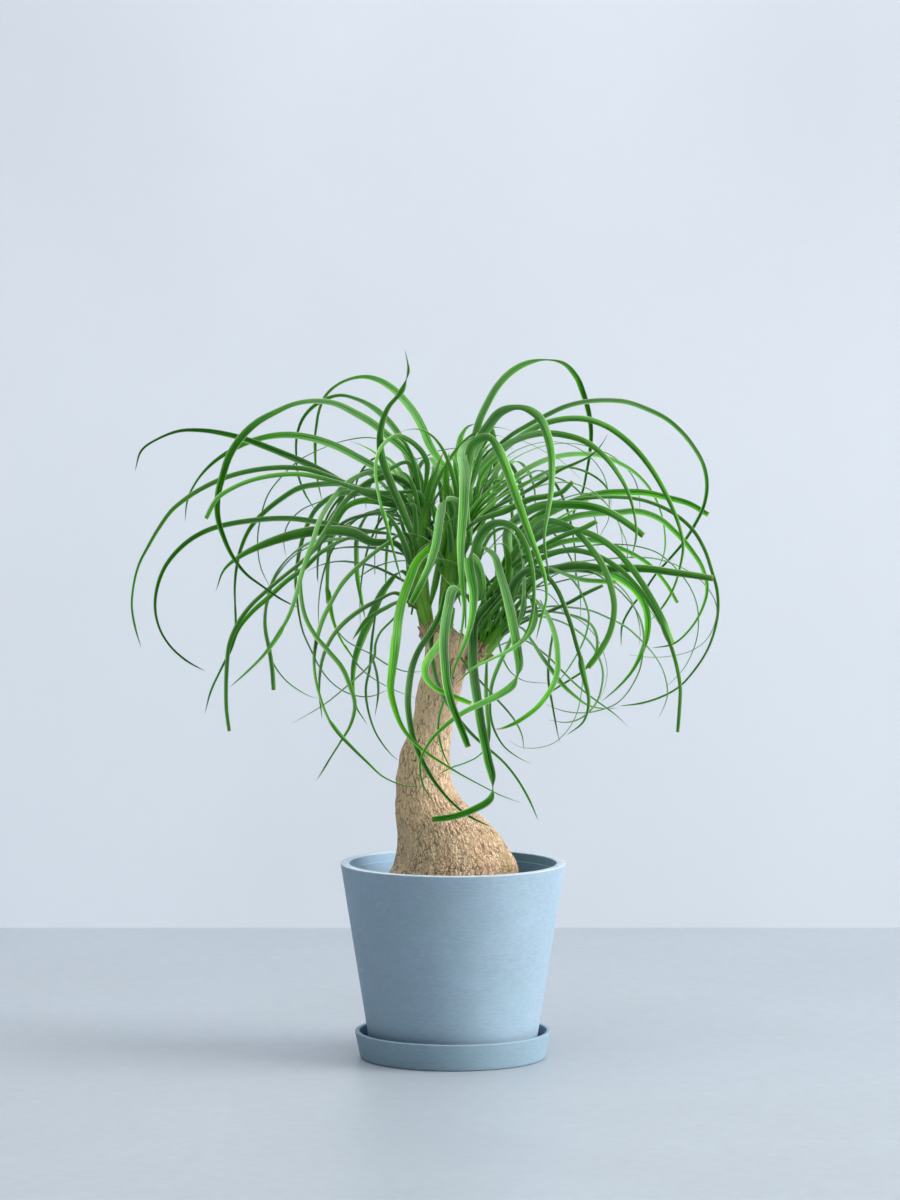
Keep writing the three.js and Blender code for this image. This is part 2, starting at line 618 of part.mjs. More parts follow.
/** The trunk without its stubs, made larger all round by `grow`. */
function trunkBody(grow) {
  const seen = TRUNK_OUTLINE.map(({ down, left, right }) => {
    const from = sightPoint(left, down, 0);
    const to = sightPoint(right, down, 0);
    return trunkRing(from.x, to.x, from.z, grow);
  });
  const lowest = TRUNK_OUTLINE.at(-1);
  const from = sightPoint(lowest.left, lowest.down, 0);
  const to = sightPoint(lowest.right, lowest.down, 0);
  const middle = (from.x + to.x) / 2;
  const buried = TRUNK.buriedRings.map((ring) => {
    const half = ((to.x - from.x) / 2) * ring.grow;
    return trunkRing(middle - half, middle + half, ring.height, grow);
  });
  const top = TRUNK_OUTLINE[0];
  const topPoint = sightPoint((top.left + top.right) / 2, TRUNK.topDown, 0);
  const bottomPoint = new THREE.Vector3(middle, 0, TRUNK.bottom - grow);
  return skin(bottomPoint, [...seen, ...buried].reverse(), topPoint);
}

/** A round rod along a curve, with a radius that changes from one end to the other. */
function rod(curve, startRadius, endRadius, sides, steps) {
  const axisHint = new THREE.Vector3(0, 1, 0);
  const rings = [];
  for (let step = 0; step <= steps; step += 1) {
    const along = step / steps;
    const centre = curve.getPoint(along);
    const tangent = curve.getTangent(along);
    const across = new THREE.Vector3().crossVectors(axisHint, tangent).normalize();
    const other = new THREE.Vector3().crossVectors(tangent, across).normalize();
    const radius = THREE.MathUtils.lerp(startRadius, endRadius, along);
    rings.push(Array.from({ length: sides }, (unused, side) => {
      const angle = (side / sides) * 2 * Math.PI;
      return centre.clone()
        .addScaledVector(across, radius * Math.cos(angle))
        .addScaledVector(other, radius * Math.sin(angle));
    }));
  }
  return skin(curve.getPoint(0), rings, curve.getPoint(1));
}

const ROD_SIDES = 12;

/** The trunk with the short stubs that carry the shoots. */
function makeTrunk() {
  let solid = toSolid(trunkBody(0));
  for (const { stub } of Object.values(SHOOTS)) {
    const line = new THREE.LineCurve3(
      sightPoint(...stub.from, 0),
      sightPoint(...stub.to, stub.depth),
    );
    solid = solid.add(toSolid(rod(line, stub.radius, stub.radius, ROD_SIDES, 3)));
  }
  return solid;
}

/** The middle line of a shoot, from its stub to its tip. */
function shootCurve({ axis, stub, depth }) {
  const points = axis.map(([across, down], index) => (
    sightPoint(across, down, THREE.MathUtils.lerp(stub.depth, depth, index / (axis.length - 1)))
  ));
  return new THREE.CatmullRomCurve3(points, false, 'centripetal');
}

function makeShoot(shoot, curve, trunk) {
  const bundle = toSolid(rod(curve, shoot.baseRadius, shoot.topRadius, ROD_SIDES, 8));
  const clear = new THREE.LineCurve3(
    sightPoint(...shoot.stub.from, 0),
    curve.getPoint(0).addScaledVector(curve.getTangent(0), GAP),
  );
  const room = toSolid(rod(clear, shoot.baseRadius + 2, shoot.baseRadius + 2, ROD_SIDES, 2));
  return bundle.subtract(room).subtract(trunk);
}

// ---------------------------------------------------------------- leaves

const NEAREST_STEPS = 20;

/** How far out a leaf has come, from 0 to 1, at a part of its length: slow, fast, then slow again. */
function outward(along) {
  const start = 0.13 * Math.PI;
  const angle = start + (Math.PI - start) * along;
  return (Math.cos(start) - Math.cos(angle)) / (Math.cos(start) + 1);
}

/** The part of a curve, from 0 to 1, that comes nearest to a point. */
function nearestPart(curve, point) {
  let best = 0;
  for (let step = 0; step <= NEAREST_STEPS; step += 1) {
    const part = step / NEAREST_STEPS;
    if (curve.getPoint(part).distanceTo(point) < curve.getPoint(best).distanceTo(point)) {
      best = part;
    }
  }
  return best;
}

/** The middle line of a leaf, from its shoot's surface to its tip. */
function leafCurve(leaf, shoot, change) {
  const flat = leaf.seen.map(([across, down]) => new THREE.Vector2(across, down));
  const lengths = [0];
  for (let index = 1; index < flat.length; index += 1) {
    lengths.push(lengths[index - 1] + flat[index].distanceTo(flat[index - 1]));
  }
  const parts = lengths.map((length) => length / lengths.at(-1));
  const reach = leaf.reach + change.reach;
  const depthAt = (part) => shoot.middleDepth + reach * outward(part);

  // the base lies on the shoot, on the side that the leaf as a whole grows to
  const start = sightPoint(flat[0].x, flat[0].y, depthAt(0));
  const nearest = THREE.MathUtils.clamp(nearestPart(shoot.curve, start), 0.12, 0.9);
  const along = THREE.MathUtils.clamp(nearest + change.slide, 0.06, 0.95);
  const axisPoint = shoot.curve.getPoint(along);
  const axisWay = shoot.curve.getTangent(along);
  const far = Math.floor((flat.length - 1) * BLADE.aimsAt);
  const side = sightPoint(flat[far].x, flat[far].y, depthAt(parts[far])).sub(axisPoint);
  side.addScaledVector(axisWay, -side.dot(axisWay)).normalize();
  side.applyAxisAngle(axisWay, change.turn);
  const radius = THREE.MathUtils.lerp(shoot.baseRadius, shoot.topRadius, along) + BLADE.offShoot;
  const base = axisPoint.clone().addScaledVector(side, radius);
  const sheath = base.clone()
    .addScaledVector(side, BLADE.sheathOut)
    .addScaledVector(axisWay, BLADE.sheathUp);

  // near the base the blade keeps to its own side of the shoot
  const lean = (sheath.y - axisPoint.y) * BLADE.leanKept;
  const points = flat.map((point, index) => {
    const kept = Math.max(0, 1 - parts[index] / BLADE.leanOver);
    return sightPoint(point.x, point.y, depthAt(parts[index]) + lean * kept);
  });
  const rest = points.slice(1).filter((point) => point.distanceTo(base) > BLADE.clearOfBase);
  return { curve: new THREE.CatmullRomCurve3([base, sheath, ...rest], false, 'centripetal'), side };
}

/** Width of a blade, against its widest, at a part of its length. */
function bladeWidth(along, cut) {
  const { fullWidthAt, taperFrom, cutWidth } = BLADE;
  if (along < taperFrom) {
    return Math.min(1, 0.7 + (0.3 * along) / fullWidthAt);
  }
  const share = (along - taperFrom) / (1 - taperFrom);
  return cut ? 1 - (1 - cutWidth) * share : 1 - share ** 1.7;
}

/** Adds a direction to another, or its opposite, whichever is nearer. */
function addNearer(vector, direction, share) {
  vector.addScaledVector(direction, Math.sign(vector.dot(direction)) * share);
}

/** Squares a vector to a direction and gives it the length 1. */
function squareTo(vector, way) {
  return vector.addScaledVector(way, -vector.dot(way)).normalize();
}

/**
 * Directions along, across and out of a blade at each of its sections. Each is carried on from the one
 * before and turned a little: level, to the viewer by `roll`, and flat in a bend, because a strap bends
 * over its flat side and not over its edge.
 */
function bladeFrames(curve, rings, side, roll) {
  const up = new THREE.Vector3(0, 0, 1);
  const ways = Array.from({ length: rings }, (unused, ring) => curve.getTangentAt(ring / (rings - 1)));
  const carried = new THREE.Vector3().crossVectors(side, ways[0]);
  return ways.map((way, ring) => {
    const centre = curve.getPointAt(ring / (rings - 1));
    const sight = centre.clone().sub(EYE).normalize();
    const seenAcross = new THREE.Vector3().crossVectors(sight, way).normalize();
    squareTo(carried, way);
    const wish = new THREE.Vector3();
    addNearer(wish.copy(carried), new THREE.Vector3().crossVectors(way, up), 1);
    addNearer(wish, seenAcross, roll);
    if (ring > 0 && ring < rings - 1) {
      addNearer(wish, new THREE.Vector3().crossVectors(ways[ring - 1], ways[ring + 1]), BLADE.bendPull);
    }
    squareTo(carried.lerp(squareTo(wish, way), BLADE.turnShare), way);
    const across = carried.clone();
    const out = new THREE.Vector3().crossVectors(across, way).normalize();
    const shown = Math.abs(across.dot(seenAcross));
    return { along: ring / (rings - 1), centre, across, out, shown };
  });
}

/** A leaf as a closed strap with a shallow channel, made thicker and wider all round by `grow`. */
function bladeGeometry(leaf, shoot, change, grow) {
  const { curve, side } = leafCurve(leaf, shoot, change);
  const rings = Math.max(BLADE.fewestRings, Math.round(curve.getLength() / BLADE.ringStep));
  const seenWidth = leaf.width * MM_PER_POINT;
  let frames = null;
  let widest = 0;
  for (const roll of BLADE.rollSteps) {
    frames = bladeFrames(curve, rings, side, roll);
    widest = seenWidth / Math.max(...frames.map((frame) => frame.shown));
    if (widest <= Math.min(BLADE.widest, 1.45 * seenWidth)) {
      break;
    }
  }
  widest = Math.min(widest, BLADE.widest);
  const sections = frames.map(({ along, centre, across, out }) => {
    let width = Math.max(BLADE.narrowest, widest * bladeWidth(along, leaf.cut));
    if (along === 0) {
      width = BLADE.baseWidth;
    }
    const half = width / 2 + grow;
    const rise = width * BLADE.channel;
    const skinDepth = BLADE.thickness / 2 + grow;
    return [
      centre.clone().addScaledVector(across, half).addScaledVector(out, rise),
      centre.clone().addScaledVector(out, -skinDepth),
      centre.clone().addScaledVector(across, -half).addScaledVector(out, rise),
      centre.clone().addScaledVector(out, skinDepth),
    ];
  });
  const first = frames[0];
  const last = frames.at(-1);
  const tipLength = leaf.cut ? BLADE.cutTip : BLADE.cutTip * 4;
  const tip = last.centre.clone().addScaledVector(curve.getTangentAt(1), tipLength);
  const root = first.centre.clone().addScaledVector(curve.getTangentAt(0), -BLADE.cutTip);
  return skin(root, sections, tip);
}

/** Volume that two solids share. */
function sharedVolume(one, other) {
  const common = one.intersect(other);
  const volume = common.volume();
  common.delete();
  return volume;
}

/** Whether the boxes round two solids meet. */
function boxesMeet(one, other) {
  return [0, 1, 2].every((axis) => one.min[axis] < other.max[axis] && other.min[axis] < one.max[axis]);
}

/** Whether a geometry stands clear of every piece in place. */
function isFree(geometry, standing) {
  const trial = toSolid(geometry);
  const box = trial.boundingBox();
  const free = standing.every((other) => (
    !boxesMeet(box, other.box) || Math.abs(sharedVolume(trial, other.solid)) < 1e-6
  ));
  trial.delete();
  return free;
}

/** Every change that may be made to a leaf to clear it, the smallest first. */
function clearingChanges() {
  const changes = [];
  CLEARING.reachSteps.forEach((reach, far) => {
    CLEARING.slideSteps.forEach((slide, up) => {
      CLEARING.turnSteps.forEach((turn, round) => {
        changes.push({ reach, slide, turn, cost: far + 1.2 * up + 1.5 * round });
      });
    });
  });
  return changes.sort((one, other) => one.cost - other.cost);
}

/** Places the leaves one by one, each clear of everything that stands before it. */
function makeLeaves(shoots, standing) {
  const changes = clearingChanges();
  const made = [];
  for (const leaf of LEAVES) {
    const shoot = shoots[leaf.shoot];
    const choice = changes.find((change) => (
      [CLEARING.margin, 0].every((grow) => isFree(bladeGeometry(leaf, shoot, change, grow), standing))
    ));
    if (!choice) {
      throw new Error(`${leaf.name} finds no free place`);
    }
    const geometry = bladeGeometry(leaf, shoot, choice, 0);
    const solid = toSolid(geometry);
    standing.push({ solid, box: solid.boundingBox() });
    made.push({ name: leaf.name, geometry });
  }
  return made;
}

// ---------------------------------------------------------------- the object

const group = new THREE.Group();

/** Adds one named piece to the object. */
function addPiece(name, geometry, material) {
  const mesh = new THREE.Mesh(geometry, material);
  mesh.name = name;
  group.add(mesh);
}

const trunk = makeTrunk();
addPiece('saucer', makeSaucer(), MATERIALS.saucer);
addPiece('pot', makePot(), MATERIALS.pot);
addPiece('soil', makeSoil(), MATERIALS.soil);
addPiece('trunk', toGeometry(trunk), MATERIALS.trunk);

const shoots = {};
const standing = [{ solid: trunk, box: trunk.boundingBox() }];
for (const [name, shoot] of Object.entries(SHOOTS)) {
  const curve = shootCurve(shoot);
  const solid = makeShoot(shoot, curve, trunk);
  shoots[name] = { ...shoot, curve, middleDepth: curve.getPoint(0.5).y };
  standing.push({ solid, box: solid.boundingBox() });
  addPiece(`shoot_${name}`, toGeometry(solid), MATERIALS.shoot);
}

for (const { name, geometry } of makeLeaves(shoots, standing)) {
  addPiece(name, geometry, MATERIALS.leaf);
}

export default group;
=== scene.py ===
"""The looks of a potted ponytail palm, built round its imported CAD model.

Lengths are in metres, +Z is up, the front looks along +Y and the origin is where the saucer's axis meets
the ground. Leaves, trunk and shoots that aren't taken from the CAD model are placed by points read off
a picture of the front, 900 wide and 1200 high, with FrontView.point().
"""

import json
import logging
import math
from dataclasses import dataclass, field
from enum import Enum

import bpy
import numpy as np
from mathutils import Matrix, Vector

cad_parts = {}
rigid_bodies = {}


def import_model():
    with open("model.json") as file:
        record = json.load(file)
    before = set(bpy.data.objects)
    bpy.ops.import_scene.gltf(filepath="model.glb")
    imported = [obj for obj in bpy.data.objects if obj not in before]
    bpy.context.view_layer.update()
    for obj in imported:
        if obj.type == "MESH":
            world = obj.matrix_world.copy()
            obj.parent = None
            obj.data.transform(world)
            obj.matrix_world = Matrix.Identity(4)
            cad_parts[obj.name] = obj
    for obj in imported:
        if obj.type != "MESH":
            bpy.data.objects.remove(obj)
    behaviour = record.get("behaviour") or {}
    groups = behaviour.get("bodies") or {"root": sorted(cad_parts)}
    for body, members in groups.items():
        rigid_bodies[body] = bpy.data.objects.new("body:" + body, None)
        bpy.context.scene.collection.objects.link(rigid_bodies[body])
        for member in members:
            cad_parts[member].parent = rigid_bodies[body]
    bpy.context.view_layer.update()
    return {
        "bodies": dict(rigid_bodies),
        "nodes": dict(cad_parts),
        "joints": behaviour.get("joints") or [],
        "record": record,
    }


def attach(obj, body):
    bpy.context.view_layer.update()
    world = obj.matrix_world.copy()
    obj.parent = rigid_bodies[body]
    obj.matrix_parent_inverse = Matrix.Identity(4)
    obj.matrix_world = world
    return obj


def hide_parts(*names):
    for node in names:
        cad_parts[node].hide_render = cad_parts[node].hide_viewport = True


logging.basicConfig(level=logging.INFO, format="%(name)s: %(message)s")
log = logging.getLogger("potted_palm")

ROOT = "root"
BLADE_UV = "Blade"  # places on a blade: across it from 0 to 1, and along it
CORNER_ANGLE = math.radians(50)  # sharper folds are shaded as corners
UPWARD = np.array([0.0, 0.0, 1.0])

Triple = tuple[float, float, float]  # a number for each axis
Colour = tuple[float, float, float]  # red, green and blue, from 0 to 1


# ---- the front view


@dataclass(frozen=True)
class FrontView:
    """Where the front is seen from, and the frame it is seen in."""

    eye: Triple = (-0.0026, -4.415, 0.732)
    pitch: float = math.radians(4.2)
    focal: float = 5000.0
    width: int = 900
    height: int = 1200
    sensor: float = 36.0

    def point(self, across: float, down: float, depth: float) -> np.ndarray:
        """Finds the real place of a point of the picture.

        Args:
            across: distance from the picture's left edge.
            down: distance from its top edge.
            depth: how far the place lies behind the pot's axis, in metres.

        Returns:
            The place, as x, y and z.
        """
        side = (across - self.width / 2) / self.focal
        rise = (self.height / 2 - down) / self.focal
        forward = math.cos(self.pitch) + rise * math.sin(self.pitch)
        upward = rise * math.cos(self.pitch) - math.sin(self.pitch)
        travel = (depth - self.eye[1]) / forward
        return np.array([self.eye[0] + side * travel, depth, self.eye[2] + upward * travel])

    def seen(self, places: np.ndarray) -> np.ndarray:
        """Finds where places show in the picture.

        Args:
            places: x, y and z of each.

        Returns:
            Across and down of each.
        """
        away = places - np.array(self.eye)
        forward = away[..., 1] * math.cos(self.pitch) - away[..., 2] * math.sin(self.pitch)
        upward = away[..., 1] * math.sin(self.pitch) + away[..., 2] * math.cos(self.pitch)
        across = self.width / 2 + self.focal * away[..., 0] / forward
        return np.stack([across, self.height / 2 - self.focal * upward / forward], axis=-1)

    def add_camera(self) -> None:
        """Makes the scene's camera."""
        data = bpy.data.cameras.new("front_camera")
        data.sensor_width = self.sensor
        data.lens = self.focal / self.height * self.sensor
        camera = bpy.data.objects.new("front_camera", data)
        bpy.context.scene.collection.objects.link(camera)
        camera.location = self.eye
        camera.rotation_euler = (math.pi / 2 - self.pitch, 0.0, 0.0)
        bpy.context.scene.camera = camera


VIEW = FrontView()
POINT_SIZE = -VIEW.eye[1] / VIEW.focal  # a picture point at the pot's axis


# ---- numbers in space


MIXERS = (374761393, 668265263, 2246822519, 3266489917)  # large odd numbers that scatter the bits
WORD = 0xFFFFFFFF


def hashed(cells: np.ndarray, seed: int) -> np.ndarray:
    """Gives each whole-numbered cell a steady number from 0 to 1.

    Args:
        cells: cell corners, with x, y and z last.
        seed: changes every number.

    Returns:
        One number for each cell.
    """
    whole = cells.astype(np.int64)
    mixed = sum(whole[..., axis] * MIXERS[axis] for axis in range(3))
    mixed = (mixed + seed * MIXERS[3]) & WORD
    mixed = ((mixed ^ (mixed >> 15)) * MIXERS[2]) & WORD
    mixed = ((mixed ^ (mixed >> 13)) * MIXERS[3]) & WORD
    return (mixed ^ (mixed >> 16)) / WORD


def soft_noise(points: np.ndarray, size: float, seed: int) -> np.ndarray:
    """Smooth random hills from -1 to 1.

    Args:
        points: where to read the noise.
        size: length of one hill.
        seed: changes the hills.

    Returns:
        One height for each point.
    """
    scaled = points / size
    cell = np.floor(scaled)
    part = scaled - cell
    part = part * part * (3 - 2 * part)
    total = np.zeros(points.shape[:-1])
    for corner in np.ndindex(2, 2, 2):
        offset = np.array(corner)
        weight = np.prod(np.where(offset == 1, part, 1 - part), axis=-1)
        total += weight * hashed(cell + offset, seed)
    return total * 2 - 1


def rough_noise(points: np.ndarray, size: float, seed: int, layers: int = 3) -> np.ndarray:
    """Hills with smaller hills on them.

    Args:
        points: where to read the noise.
        size: length of the largest hills.
        seed: changes the hills.
        layers: how many sizes are laid over each other.

    Returns:
        One height for each point, roughly from -1 to 1.
    """
    total = sum(
        soft_noise(points, size / 2**layer, seed + layer) / 2**layer for layer in range(layers)
    )
    return total / (2 - 0.5 ** (layers - 1))


def cell_border(points: np.ndarray, size: float, seed: int) -> np.ndarray:
    """How far each point lies from the border of its random cell.

    Args:
        points: where to look.
        size: length of one cell.
        seed: changes the cells.

    Returns:
        0 on a border, growing to about 1 inside a cell.
    """
    scaled = points / size
    cell = np.floor(scaled)
    nearest = np.full(points.shape[:-1], 9.0)
    second = nearest.copy()
    for corner in np.ndindex(3, 3, 3):
        home = cell + np.array(corner) - 1
        centre = home + np.stack([hashed(home, seed + axis) for axis in range(3)], axis=-1)
        away = np.linalg.norm(scaled - centre, axis=-1)
        second = np.minimum(second, np.maximum(nearest, away))
        nearest = np.minimum(nearest, away)
    return second - nearest


def step_between(low: float, high: float, value: np.ndarray) -> np.ndarray:
    """A smooth step from 0 at low to 1 at high."""
    part = np.clip((value - low) / (high - low), 0, 1)
    return part * part * (3 - 2 * part)


def unit(vectors: np.ndarray) -> np.ndarray:
    """The same directions with the length 1."""
    return vectors / np.maximum(np.linalg.norm(vectors, axis=-1, keepdims=True), 1e-12)


def squared(vectors: np.ndarray, ways: np.ndarray) -> np.ndarray:
    """Vectors squared to the ways they stand on, with the length 1."""
    return unit(vectors - ways * np.sum(vectors * ways, axis=-1, keepdims=True))


def smooth_at(knots: np.ndarray, values: np.ndarray, wanted: np.ndarray) -> np.ndarray:
    """Reads a smooth curve through points.

    Args:
        knots: growing places.
        values: the value there, or a row of values.
        wanted: where to read.

    Returns:
        The values at the wanted places.
    """
    slopes = np.gradient(values, knots, axis=0)
    index = np.clip(np.searchsorted(knots, wanted, side="right") - 1, 0, len(knots) - 2)
    column = (-1,) + (1,) * (values.ndim - 1)
    span = (knots[index + 1] - knots[index]).reshape(column)
    t = (wanted - knots[index]).reshape(column) / span
    return (
        (2 * t**3 - 3 * t**2 + 1) * values[index]
        + (t**3 - 2 * t**2 + t) * span * slopes[index]
        + (3 * t**2 - 2 * t**3) * values[index + 1]
        + (t**3 - t**2) * span * slopes[index + 1]
    )


def smooth_line(points: np.ndarray, count: int) -> np.ndarray:
    """Lays a smooth line through points and divides it evenly.

    Args:
        points: what the line passes through, with any number of values each.
        count: how many places to return.

    Returns:
        The places, from the first point to the last.
    """
    chords = np.linalg.norm(np.diff(points[:, :3], axis=0), axis=1)
    knots = np.concatenate([[0.0], np.cumsum(np.sqrt(np.maximum(chords, 1e-9)))])
    line = smooth_at(knots, points, np.linspace(0, knots[-1], max(200, 12 * len(points))))
    run = np.concatenate([[0.0], np.cumsum(np.linalg.norm(np.diff(line[:, :3], axis=0), axis=1))])
    wanted = np.linspace(0, run[-1], count)
    return np.stack([np.interp(wanted, run, line[:, k]) for k in range(line.shape[1])], axis=1)


# ---- meshes


@dataclass
class Grid:
    """A skin over rings of equally many points.

    Attributes:
        rings: the points, as (ring, side, 3).
        first: a point that closes the first ring, or None.
        last: a point that closes the last ring, or None.
        uv: (ring, side, 2), or None.
        values: named numbers, (ring, side) each.
    """

    rings: np.ndarray
    first: np.ndarray | None = None
    last: np.ndarray | None = None
    uv: np.ndarray | None = None
    values: dict[str, np.ndarray] = field(default_factory=dict)

    def arrays(self) -> tuple[np.ndarray, list[tuple[int, ...]], np.ndarray | None, dict[str, np.ndarray]]:
        """Works out the skin.

        Returns:
            Its points, faces, texture places and named numbers.
        """
        rows, sides = self.rings.shape[:2]
        points = [self.rings.reshape(-1, 3)]
        row, side = np.meshgrid(np.arange(rows - 1), np.arange(sides), indexing="ij")
        after = (side + 1) % sides
        quads = np.stack(
            [row * sides + side, row * sides + after, (row + 1) * sides + after, (row + 1) * sides + side],
            axis=-1,
        ).reshape(-1, 4)
        faces = [tuple(quad) for quad in quads.tolist()]
        uv = None if self.uv is None else [self.uv.reshape(-1, 2)]
        values = {name: [v.reshape(-1)] for name, v in self.values.items()}
        total = rows * sides
        for tip, start in ((self.first, 0), (self.last, (rows - 1) * sides)):
            if tip is None:
                continue
            points.append(np.asarray(tip, float).reshape(1, 3))
            for index in range(sides):
                one, two = start + index, start + (index + 1) % sides
                faces.append((total, two, one) if start == 0 else (total, one, two))
            ring = 0 if start == 0 else -1
            if uv is not None:
                uv.append(self.uv[ring].mean(axis=0, keepdims=True))
            for name, v in self.values.items():
                values[name].append(v[ring].mean(keepdims=True))
            total += 1
        return (
            np.concatenate(points),
            faces,
            None if uv is None else np.concatenate(uv),
            {name: np.concatenate(parts) for name, parts in values.items()},
        )


def add_piece(name: str, grids: list[Grid], material: bpy.types.Material,
              replaced: tuple[str, ...] = (), crisp: bool = False) -> None:
    """Makes one piece of the plant from its skins and lets it ride on the body.

    Args:
        name: the piece's name.
        grids: its skins.
        material: its finish.
        replaced: CAD nodes that it stands for.
        crisp: whether its sharp corners are shaded as corners.
    """
    points, faces, uvs, values, total = [], [], [], {}, 0
    for grid in grids:
        own_points, own_faces, own_uv, own_values = grid.arrays()
        points.append(own_points)
        faces += [tuple(corner + total for corner in face) for face in own_faces]
        if own_uv is not None:
            uvs.append(own_uv)
        for key, numbers in own_values.items():
            values.setdefault(key, []).append(numbers)
        total += len(own_points)
    mesh = bpy.data.meshes.new(name)
    mesh.from_pydata(np.concatenate(points).tolist(), [], faces)
    if uvs:
        layer = mesh.uv_layers.new(name=BLADE_UV)
        corners = np.empty(len(mesh.loops), np.int32)
        mesh.loops.foreach_get("vertex_index", corners)
        layer.data.foreach_set("uv", np.concatenate(uvs)[corners].astype(np.float32).ravel())
    for key, parts in values.items():
        attribute = mesh.attributes.new(key, "FLOAT", "POINT")
        attribute.data.foreach_set("value", np.concatenate(parts).astype(np.float32))
    mesh.shade_smooth()
    mesh.validate()
    if crisp:
        mesh.set_sharp_from_angle(angle=CORNER_ANGLE)
    mesh.materials.append(material)
    piece = bpy.data.objects.new(name, mesh)
    bpy.context.scene.collection.objects.link(piece)
    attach(piece, ROOT)
    if replaced:
        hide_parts(*replaced)
    log.info("%s: %d points, stands for %s", name, total, ", ".join(replaced) or "nothing in the CAD")


# ---- shader parts


Socket = bpy.types.NodeSocket
Value = Socket | float | tuple[float, ...]


@dataclass
class Tree:
    """Adds nodes to a node tree and links them."""

    tree: bpy.types.NodeTree

    # Places of the colour sockets on a Mix node, whose names aren't unique.
    MIX_SHARE, MIX_ONE, MIX_TWO, MIX_RESULT = 0, 6, 7, 2

    def node(self, kind: str, inputs: dict[str | int, Value] | None = None,
             **settings: object) -> bpy.types.Node:
        """Adds a node.

        Args:
            kind: the node's type.
            inputs: what goes into its sockets, a value or another node's socket.
            settings: its other properties.

        Returns:
            The node.
        """
        made = self.tree.nodes.new(kind)
        for key, value in settings.items():
            setattr(made, key, value)
        for key, value in (inputs or {}).items():
            if isinstance(value, Socket):
                self.tree.links.new(value, made.inputs[key])
            else:
                made.inputs[key].default_value = value
        return made

    def math(self, operation: str, *values: Value) -> Socket:
        """A Math node's result."""
        return self.node("ShaderNodeMath", dict(enumerate(values)), operation=operation).outputs[0]

    def plus(self, one: Value, two: Value) -> Socket:
        """The sum of two numbers."""
        return self.math("ADD", one, two)

    def minus(self, one: Value, two: Value) -> Socket:
        """The first number less the second."""
        return self.math("SUBTRACT", one, two)

    def times(self, one: Value, two: Value) -> Socket:
        """The product of two numbers."""
        return self.math("MULTIPLY", one, two)

    def scaled(self, vector: Socket, factor: Value) -> Socket:
        """A colour or vector times a number."""
        return self.node("ShaderNodeVectorMath", {0: vector, "Scale": factor}, operation="SCALE").outputs[0]

    def noise(self, vector: Socket, scale: Value, detail: float = 3.0, roughness: float = 0.55) -> Socket:
        """Noise from 0 to 1 at a place."""
        inputs = {"Vector": vector, "Scale": scale, "Detail": detail, "Roughness": roughness}
        return self.node("ShaderNodeTexNoise", inputs).outputs["Fac"]

    def drawn_out(self, vector: Socket, scale: Triple, detail: float, roughness: float) -> Socket:
        """Noise from 0 to 1 whose grains are longer along some axes than along others."""
        return self.noise(self.stretched(vector, scale), 1.0, detail, roughness)

    def stretched(self, vector: Socket, scale: Triple) -> Socket:
        """The same place on stretched axes."""
        return self.node("ShaderNodeMapping", {"Vector": vector, "Scale": scale}).outputs[0]

    def ramp(self, value: Socket, stops: list[tuple[float, Colour]]) -> Socket:
        """Turns a number into a colour.

        Args:
            value: the number, from 0 to 1.
            stops: places and the colours there.

        Returns:
            The colour.
        """
        made = self.node("ShaderNodeValToRGB", {"Fac": value})
        elements = made.color_ramp.elements
        while len(elements) < len(stops):
            elements.new(0.5)
        for element, (place, colour) in zip(elements, stops):
            element.position = place
            element.color = (*colour, 1.0)
        return made.outputs["Color"]

    def between(self, value: Socket, low: float, high: float, to_low: float = 0.0,
                to_high: float = 1.0) -> Socket:
        """A number moved from one range to another, and held in it."""
        inputs = {"Value": value, "From Min": low, "From Max": high, "To Min": to_low, "To Max": to_high}
        return self.node("ShaderNodeMapRange", inputs, clamp=True, interpolation_type="SMOOTHSTEP").outputs[0]

    def blend(self, share: Value, one: Socket | Colour, two: Socket | Colour, how: str = "MIX") -> Socket:
        """Mixes two colours.

        Args:
            share: how much of the second, from 0 to 1.
            one: first colour.
            two: second colour.
            how: the way to mix.

        Returns:
            The mixed colour.
        """
        one, two = (colour if isinstance(colour, Socket) else (*colour, 1.0) for colour in (one, two))
        inputs = {self.MIX_SHARE: share, self.MIX_ONE: one, self.MIX_TWO: two}
        made = self.node("ShaderNodeMix", inputs, data_type="RGBA", blend_type=how)
        return made.outputs[self.MIX_RESULT]

    def attribute(self, name: str) -> Socket:
        """A number kept on the mesh."""
        return self.node("ShaderNodeAttribute", attribute_name=name).outputs["Fac"]


class Effect(Enum):
    """Effects that several finishes share, each a node group."""

    MOTTLE = "mottle"
    GRAIN = "grain"


def new_group(effect: Effect, sockets: list[tuple[str, str, str, float | None]]) -> Tree:
    """Starts a node group.

    Args:
        effect: names the group.
        sockets: name, direction, type and starting value of each socket.

    Returns:
        The group's tree, to be filled.
    """
    group = bpy.data.node_groups.new(effect.value, "ShaderNodeTree")
    for name, direction, kind, start in sockets:
        made = group.interface.new_socket(name=name, in_out=direction, socket_type=kind)
        if start is not None:
            made.default_value = start
    return Tree(group)


